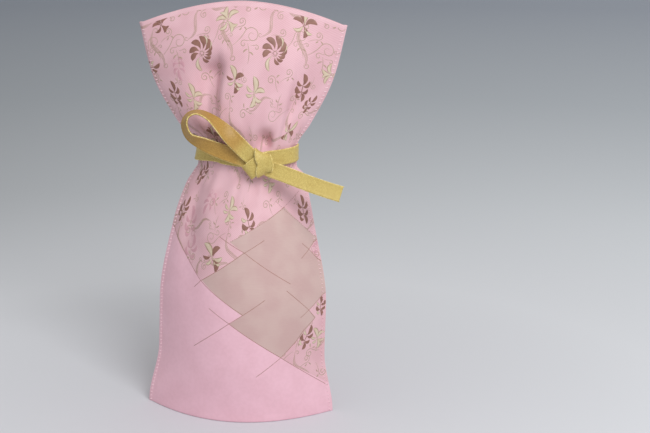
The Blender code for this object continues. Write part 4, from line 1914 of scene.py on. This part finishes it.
@dataclass(frozen=True)
class CordFinish:
    """Gold rayon cord: a slanting braid, smooth and deeper where the loop turns over."""

    colour: Colour = srgb(224, 205, 126)
    deep: Colour = srgb(182, 154, 76)
    smooth: Colour = srgb(190, 151, 76)
    smooth_deep: Colour = srgb(166, 127, 58)
    pitch: float = 0.0011
    blends: tuple[float, float] = (0.009, 0.007)
    surface: Surface = Surface(0.46, 0.45, 0.00014, 0.8, 0.15, 0.4, srgb(255, 246, 214))

    def build(self, weaving: Weaving, loop: tuple[float, float]) -> Material:
        """Make the material.

        Args:
            weaving: the shared groups.
            loop: where along the cord the loop starts and ends, in metres.

        Returns:
            The material.
        """
        finish = Finish("gold_cord", "cord")
        nodes = finish.nodes
        one = finish.ribs(weaving, self.pitch, 52, 0.9).outputs
        other = finish.ribs(weaving, self.pitch * 0.8, -48, 0.9).outputs
        braid = nodes.math("MULTIPLY", one["Rib"], other["Rib"])
        grain = nodes.ramp(one["Slub"], 0.3, 0.7)
        cloud, fine = finish.cloud(0.004), finish.cloud(0.0011)
        slant = ((braid, 0.26), (one["Rib"], 0.18))
        share = nodes.total(*slant, (cloud, 0.10), (grain, 0.14), (fine, 0.32))
        face = nodes.mix(share, self.deep, self.colour)
        share = nodes.total((fine, 0.6), (cloud, 0.2))
        satin = nodes.mix(share, self.smooth_deep, self.smooth)
        along = nodes.split(finish.place)[0]
        into, out = (
            nodes.ramp(along, place - blend, place + blend)
            for place, blend in zip(loop, self.blends)
        )
        turned = nodes.math("SUBTRACT", into, out)
        finish.set("Base Color", nodes.mix(turned, face, satin))
        height = nodes.math("MULTIPLY", braid, nodes.math("MULTIPLY_ADD", turned, -0.7, 1.0))
        finish.light(self.surface, height)
        return finish.material


@dataclass(frozen=True)
class BeadFinish:
    """The cord's edge thread, a paler gold."""

    colour: Colour = srgb(244, 228, 160)
    deep: Colour = srgb(204, 178, 98)
    fineness: float = 700.0

    def build(self) -> Material:
        """Make the material.

        Returns:
            The material.
        """
        finish = Finish("gold_edge")
        inputs = {"Vector": finish.place, "Scale": self.fineness, "Detail": 1.0}
        noise = finish.nodes.add("ShaderNodeTexNoise", **inputs).outputs[0]
        share = finish.nodes.ramp(noise, 0.35, 0.65)
        finish.set("Base Color", finish.nodes.mix(share, self.deep, self.colour))
        finish.light(Surface(0.42))
        return finish.material


@dataclass
class EdgeStitches:
    """The sewn line up both side edges of each panel."""

    inset_line: float = 0.0899
    low: float = 0.0025
    high: float = 0.3585
    line_step: float = 0.001
    pitch: float = 0.0034
    length: float = 0.0025
    width: float = 0.00066
    proud: float = 0.00016
    rings: int = 7
    around: int = 6
    taper: float = 0.97
    dip: float = 0.5

    def shape(self) -> Object:
        """One stitch: a short rounded thread, dipping at both ends.

        Returns:
            The stitch, along X.
        """
        t = np.linspace(-1, 1, self.rings)[:, None]
        turn = np.arange(self.around)[None, :] / self.around * 2 * math.pi
        girth = self.width / 2 * np.sqrt(np.maximum(1 - self.taper * t**4, 0.0))
        height = self.width * self.dip / 2 - self.dip * self.width * t**4
        across, up = girth * np.cos(turn), girth * np.sin(turn) + height
        along = np.broadcast_to(t * self.length / 2, across.shape)
        obj = tube("stitch_shape", np.stack([along, across, up], -1))
        weld(obj)
        return obj

    def build(self, cloth: Object, finish: Material, loom: Loom) -> Object:
        """Sew the edges.

        Args:
            cloth: the cloth's piece.
            finish: the thread's material.
            loom: the trees that lay a line on the cloth and set stitches along it.

        Returns:
            The piece.
        """
        v = np.arange(self.low, self.high, self.line_step)
        places = [(side * self.inset_line, height, self.proud) for side in (-1, 1) for height in v]
        pairs = [(k, k + 1) for k in range(len(places) - 1) if k != len(v) - 1]
        flat = mesh_object("stitch_lines", np.array(places), (), pairs, smooth=False)
        values = {"Cloth": cloth, "Back Island": BACK_ISLAND, "Finish": finish}
        laid = loom.lay_on.apply(flat, "stitch_lines_laid", values)
        shape = self.shape()
        values = {"Shape": shape, "Step": self.pitch, "Finish": finish}
        sewn = loom.along.apply(laid, "edge_stitches", values)
        remove(shape)
        return sewn


@dataclass
class FlatCord:
    """The tie: one flat cord, from its end in the knot, round the neck and loop, to its tail.

    The route's places are in millimetres, each with the direction of the cord's width. The band's
    turns are in degrees, from the knot to the left and round the back.
    """

    width: float = 0.0130
    thickness: float = 0.0015
    step: float = 0.0011
    waist_half: tuple[float, float] = (0.0437, 0.0250)
    waist_middle: tuple[float, float] = (0.0045, 0.0)
    waist_power: float = 0.9
    band_turns: tuple[float, float] = (-108, -412)
    band_places: int = 34
    band_lean: float = 2.2
    upright: float = -12.0
    bead_step: float = 0.00095
    bead_radius: float = 0.00062
    bead_squash: float = 0.85
    bead_turn: float = 32.0
    bead_inset: float = 0.0001
    smooth_from: Place = (6.0, -29.0, 232.5)
    smooth_to: Place = (4.2, -33.8, 243.8)
    to_front: tuple[tuple[Place, Place], ...] = (
        ((24.5, -30.0, 227.0), (7, 0, 3)),
        ((24.3, -30.6, 223.4), (10, 0, 5.4)),
        ((24.1, -33.0, 221.4), (10, 0, 6)),
        ((24.1, -35.7, 223.8), (10, 0, 5.6)),
        ((25.7, -36.9, 230.2), (12, 0, 1.4)),
        ((23.4, -36.2, 235.8), (12, 0, -2.8)),
        ((22.4, -33.4, 238.8), (12, 0, -4)),
        ((20.5, -29.6, 237.8), (10, 0, -7)),
        ((13.0, -27.6, 232.0), (5, 0, -12)),
    )
    band_heights: tuple[tuple[float, float], ...] = (
        (-108, 233.0), (-118, 234.8), (-130, 235.0), (-150, 234.0), (-180, 232.4),
        (-270, 232.4), (-360, 234.2), (-390, 233.6), (-412, 232.6),
    )
    after_band: tuple[tuple[Place, Place], ...] = (
        ((23.0, -27.4, 232.0), (1, 0, -12)),
        ((16.0, -28.0, 227.4), (6, 0, -10)),
        ((11.6, -29.0, 223.0), (8, 0, -9.5)),
        ((9.4, -31.8, 221.4), (8, 0, -9.5)),
        ((11.4, -34.4, 223.2), (8, 0, -9.5)),
        ((15.4, -35.2, 226.6), (8, 0, -9.5)),
        ((20.0, -34.6, 230.2), (7, 0, -10)),
        ((24.4, -33.6, 232.6), (3, 0, -12)),
        ((26.0, -31.6, 233.0), (0, 0, -12)),
        ((23.0, -30.0, 232.4), (-1, 0, -12)),
        ((14.0, -28.9, 230.4), (-2, 0, -12)),
        ((1.5, -29.2, 234.0), (-2, 0, -12)),
        ((-14.0, -29.8, 239.0), (-2.5, 1.5, -12)),
        ((-28.0, -31.2, 244.8), (-4, 5, -10)),
        ((-39.4, -32.6, 251.0), (-6, 9, -5)),
        ((-43.4, -33.4, 261.0), (-6.5, 10.5, -0.5)),
        ((-40.0, -34.0, 269.2), (-3, 12, 1)),
        ((-31.5, -34.6, 272.2), (0, 12, 0.6)),
        ((-21.0, -35.0, 268.0), (1.8, 12, 2.2)),
        ((-12.2, -35.2, 260.6), (4.6, 8.6, 4.6)),
        ((-2.6, -34.8, 251.0), (7, 3.8, 6.4)),
        ((5.8, -33.4, 242.2), (7, 1.5, 7)),
        ((12.5, -32.0, 235.4), (7, 0, 7)),
        ((19.0, -31.6, 230.0), (5, 0, 9)),
        ((28.0, -31.9, 225.6), (3, 1.0, 12)),
        ((42.0, -32.2, 221.0), (3, 2.5, 12)),
        ((59.0, -33.2, 215.2), (3, 3.5, 12)),
        ((75.0, -34.8, 210.4), (3, 3.5, 12)),
        ((89.0, -35.2, 206.6), (3, 3.5, 12)),
    )
    left_face: tuple[tuple[float, float], ...] = (
        (-1, 0.0), (-0.985, 0.6), (-0.93, 1.25), (-0.86, 0.95), (-0.5, 0.92), (0, 0.9),
    )

    def __post_init__(self) -> None:
        """Lay out the cord's line once, for all that follows it."""
        self.path, self.across, self.out = self.route()
        self.reach = lengths(self.path)

    def band(self) -> list[tuple[Place, Place]]:
        """The turn round the neck, from the knot to the left, round the back and to the knot.

        Returns:
            Places in millimetres, each with the direction of the cord's width.
        """
        places = []
        turns, heights = zip(*self.band_heights[::-1])
        for turn in np.linspace(*np.radians(self.band_turns), self.band_places):
            side, front = math.cos(turn), math.sin(turn)
            x, y = (
                middle + half * math.copysign(abs(share) ** self.waist_power, share)
                for middle, half, share in zip(self.waist_middle, self.waist_half, (side, front))
            )
            height = float(np.interp(math.degrees(turn), turns, heights))
            lean = self.band_lean * max(-side, 0.0)
            places.append(((x * PER_METRE, y * PER_METRE, height), (-lean, 0, self.upright)))
        return places

    def route(self) -> tuple[Array, Array, Array]:
        """Lay the cord out.

        Returns:
            The middle line of the whole cord in metres, the direction of its width at each point
            and the direction that its face looks.
        """
        chosen = [*self.to_front, *self.band(), *self.after_band]
        middles = np.array([place for place, _ in chosen]) * MM
        widths = unit(np.array([width for _, width in chosen], float))
        for i in range(1, len(widths)):
            if widths[i] @ widths[i - 1] < 0:
                widths[i:] *= -1
        line = smooth_line(np.concatenate([middles, widths], axis=1), self.step)
        path, across = line[:, :3], line[:, 3:]
        slopes = np.gradient(path, axis=0)
        along = unit(slopes)
        across = unit(across - along * (across * along).sum(axis=1)[:, None])
        return path, across, unit(np.cross(slopes, across))

    def section(self) -> Array:
        """The cord's section, as shares of its width and metres out, once round.

        Returns:
            One place a row.
        """
        upper = [*self.left_face, *((-x, y) for x, y in self.left_face[-2::-1])]
        lower = [(x, -y) for x, y in upper[-2:0:-1]]
        return np.array([(x, y * self.thickness / 2) for x, y in upper + lower])

    def build(self, finish: Material) -> tuple[Object, Array, float]:
        """Make the cord.

        Args:
            finish: its material.

        Returns:
            The piece, the points of its middle line and its length.
        """
        section = self.section()
        rings = (
            self.path[:, None, :]
            + self.across[:, None, :] * (section[None, :, 0:1] * self.width / 2)
            + self.out[:, None, :] * section[None, :, 1:2]
        )
        obj = tube("flat_cord", rings)
        corners = np.zeros(len(obj.data.loops), np.int32)
        obj.data.loops.foreach_get("vertex_index", corners)
        girth = lengths(section * (self.width / 2, 1.0))
        places = [self.reach[corners // len(section)], girth[corners % len(section)]]
        layer = obj.data.uv_layers.new(name="cord")
        layer.uv.foreach_set("vector", np.stack(places, -1).astype(np.float32).ravel())
        obj.data.materials.append(finish)
        weld(obj)
        return obj, self.path, float(self.reach[-1])

    def bead(self) -> Object:
        """One turn of the edge thread: a small flattened bead.

        Returns:
            The bead.
        """
        bm = bmesh.new()
        bmesh.ops.create_uvsphere(bm, u_segments=6, v_segments=4, radius=self.bead_radius)
        bmesh.ops.scale(bm, vec=(1.0, self.bead_squash, 1.0), verts=bm.verts)
        turn = Matrix.Rotation(math.radians(self.bead_turn), 3, "Z")
        bmesh.ops.rotate(bm, matrix=turn, verts=bm.verts)
        mesh = bpy.data.meshes.new("bead_shape")
        bm.to_mesh(mesh)
        bm.free()
        mesh.shade_smooth()
        return scene_object("bead_shape", mesh)

    def loop_span(self) -> tuple[float, float]:
        """How far along the cord its loop turns its smooth side out, from and to, in metres.

        Returns:
            The two distances.
        """
        start, end = (
            float(self.reach[np.argmin(np.linalg.norm(self.path - np.array(place) * MM, axis=1))])
            for place in (self.smooth_from, self.smooth_to)
        )
        return start, end

    def edges(self, finish: Material, loom: Loom) -> Object:
        """The beaded thread along both edges of the cord, as one piece.

        Args:
            finish: its material.
            loom: the trees that repeat a shape.

        Returns:
            The piece.
        """
        aside = self.across * (self.width / 2 - self.bead_inset)
        spots = np.concatenate([self.path + aside, self.path - aside])
        count = len(self.path)
        pairs = [(k, k + 1) for k in range(2 * count - 1) if k != count - 1]
        lines = mesh_object("edge_lines", spots, (), pairs, smooth=False)
        facing = lines.data.attributes.new("facing", "FLOAT_VECTOR", "POINT")
        outs = np.concatenate([self.out, self.out]).astype(np.float32)
        facing.data.foreach_set("vector", outs.ravel())
        shape = self.bead()
        values = {"Shape": shape, "Step": self.bead_step, "Finish": finish}
        made = loom.along.apply(lines, "cord_edges", values)
        remove(shape)
        return made


@dataclass(frozen=True)
class FloorFinish:
    """Pale paper, darkened a little under and round the bag by a painted shadow, darker and greyer
    far away by painted falloff of the light, and lighter to the right by painted light from the key
    lamp's side.

    A stop is a share of the reach in metres, with its colour.
    """

    reach: float = 6.0
    paper_with_painted_shade: tuple[tuple[float, Colour], ...] = (
        # The first stop is a painted shadow under and round the bag; from the second on, the stops
        # darken and grey with distance as painted falloff of the light.
        (0.0, srgb(208, 209, 215)),
        (0.07, srgb(223, 226, 231)),
        (0.15, srgb(211, 216, 221)),
        (0.30, srgb(194, 201, 208)),
        (0.65, srgb(172, 180, 192)),
    )
    # Painted light from the key lamp's side: the floor's colour is raised towards +X.
    side_soft: float = 0.6
    side_from: tuple[float, float] = (0.25, 0.95)
    side_gain: float = 0.55
    surface: Surface = Surface(0.9, 0.1)

    def build(self) -> Material:
        """Make the material.

        Returns:
            The material.
        """
        finish = Finish("floor_paper")
        nodes = finish.nodes
        settings = {"operation": "LENGTH"}
        away = nodes.add("ShaderNodeVectorMath", settings, in0=finish.place).outputs["Value"]
        ramp = nodes.add("ShaderNodeValToRGB", Fac=nodes.math("DIVIDE", away, self.reach))
        first, last = ramp.color_ramp.elements
        first.color = self.paper_with_painted_shade[0][1]
        last.position, last.color = self.paper_with_painted_shade[-1]
        for position, colour in self.paper_with_painted_shade[1:-1]:
            ramp.color_ramp.elements.new(position).color = colour
        # Painted light: the colour is raised to the right, more so farther from the bag.
        side = nodes.split(finish.place)[0]
        aside = nodes.math("DIVIDE", side, nodes.math("ADD", away, self.side_soft))
        painted_key_light = nodes.math("MULTIPLY", aside, nodes.ramp(away, *self.side_from))
        painted_light_gain = nodes.math("MULTIPLY_ADD", painted_key_light, self.side_gain, 1.0)
        finish.set("Base Color", nodes.scale(ramp.outputs[0], painted_light_gain))
        finish.light(self.surface)
        return finish.material


@dataclass
class Studio:
    """The photographer's table: a pale seamless floor, soft lights and the camera."""

    azimuth: float = math.radians(9.0)
    elevation: float = math.radians(14.0)
    distance: float = 1.2
    aim: Place = (0.0, 0.0, 0.1755)
    lens: float = 76.4
    sensor: float = 36.0
    clip: tuple[float, float] = (0.05, 60.0)
    axis_pixel: float = 242.0
    floor_half: float = 14.0
    sky: Colour = (1.0, 0.985, 0.975, 1.0)
    sky_strength: float = 0.54
    key_place: Place = (0.60, -1.00, 1.20)
    key_aim: Place = (0.0, 0.0, 0.18)
    key_size: float = 0.7
    key_power: float = 14.9

    def camera(self) -> None:
        """Set the camera at the photograph's angle, with the bag left of the picture's middle."""
        data = bpy.data.cameras.new("camera")
        data.lens = self.lens
        data.sensor_width = self.sensor
        data.shift_x = (IMAGE_WIDTH / 2 - self.axis_pixel) / IMAGE_WIDTH
        data.clip_start, data.clip_end = self.clip
        camera = scene_object("camera", data)
        flat = math.cos(self.elevation)
        x, y = math.sin(self.azimuth) * flat, -math.cos(self.azimuth) * flat
        back = Vector((x, y, math.sin(self.elevation)))
        camera.location = Vector(self.aim) + back * self.distance
        camera.rotation_euler = back.to_track_quat("Z", "Y").to_euler()
        bpy.context.scene.camera = camera

    def floor(self) -> None:
        """Make the floor."""
        half = self.floor_half
        corners = np.array([(-half, -half, 0), (half, -half, 0), (half, half, 0), (-half, half, 0)])
        floor = mesh_object("floor", corners, [(0, 1, 2, 3)], smooth=False)
        floor.data.materials.append(FloorFinish().build())

    def key_light(self) -> None:
        """Hang one large soft lamp at the front right."""
        data = bpy.data.lights.new("key_lamp", "AREA")
        data.shape = "SQUARE"
        data.size = self.key_size
        data.energy = self.key_power
        lamp = scene_object("key_lamp", data)
        back = Vector(self.key_place) - Vector(self.key_aim)
        lamp.location = self.key_place
        lamp.rotation_euler = back.to_track_quat("Z", "Y").to_euler()

    def fill_light(self) -> None:
        """Light the rest from a plain bright sky."""
        world = bpy.data.worlds.new("soft_sky")
        world.use_nodes = True
        inputs = world.node_tree.nodes["Background"].inputs
        inputs["Color"].default_value = self.sky
        inputs["Strength"].default_value = self.sky_strength
        bpy.context.scene.world = world

    def build(self) -> None:
        """Make the camera, the lights and the floor."""
        self.camera()
        self.key_light()
        self.fill_light()
        self.floor()
        bpy.context.scene.view_settings.view_transform = "Standard"


def dress(piece: Object) -> None:
    """Let a piece ride with the bag and log how many faces it has.

    Args:
        piece: the piece.
    """
    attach(piece, "root")
    LOG.info("%s: %d faces", piece.name, len(piece.data.polygons))


def main() -> None:
    """Build the bag, its cord and the studio, and let every piece ride with the bag."""
    logging.basicConfig(level=logging.INFO, format="%(name)s: %(message)s")
    Studio().build()
    design = WeaveDesign()
    weaving = Weaving(zone_group(design), rib_group())
    loom = Loom()
    brocade, reverse = BrocadeFinish().build(weaving), ReverseFinish().build(weaving)
    bag = Pouch(PouchForm()).build(brocade, reverse)
    dress(bag)
    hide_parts("bag_cloth")
    threads = {thread: finish.build(weaving) for thread, finish in THREADS.items()}
    woven = Pattern(design).build(bag, threads, loom)
    woven.append(EdgeStitches().build(bag, StitchFinish().build(), loom))
    for piece in woven:
        dress(piece)
    cord = FlatCord()
    tie, path, length = cord.build(CordFinish().build(weaving, cord.loop_span()))
    edges = cord.edges(BeadFinish().build(), loom)
    dress(tie)
    dress(edges)
    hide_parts("tie_cord")
    LOG.info("cord: %.3f m", length)


if __name__ == "__main__":
    main()
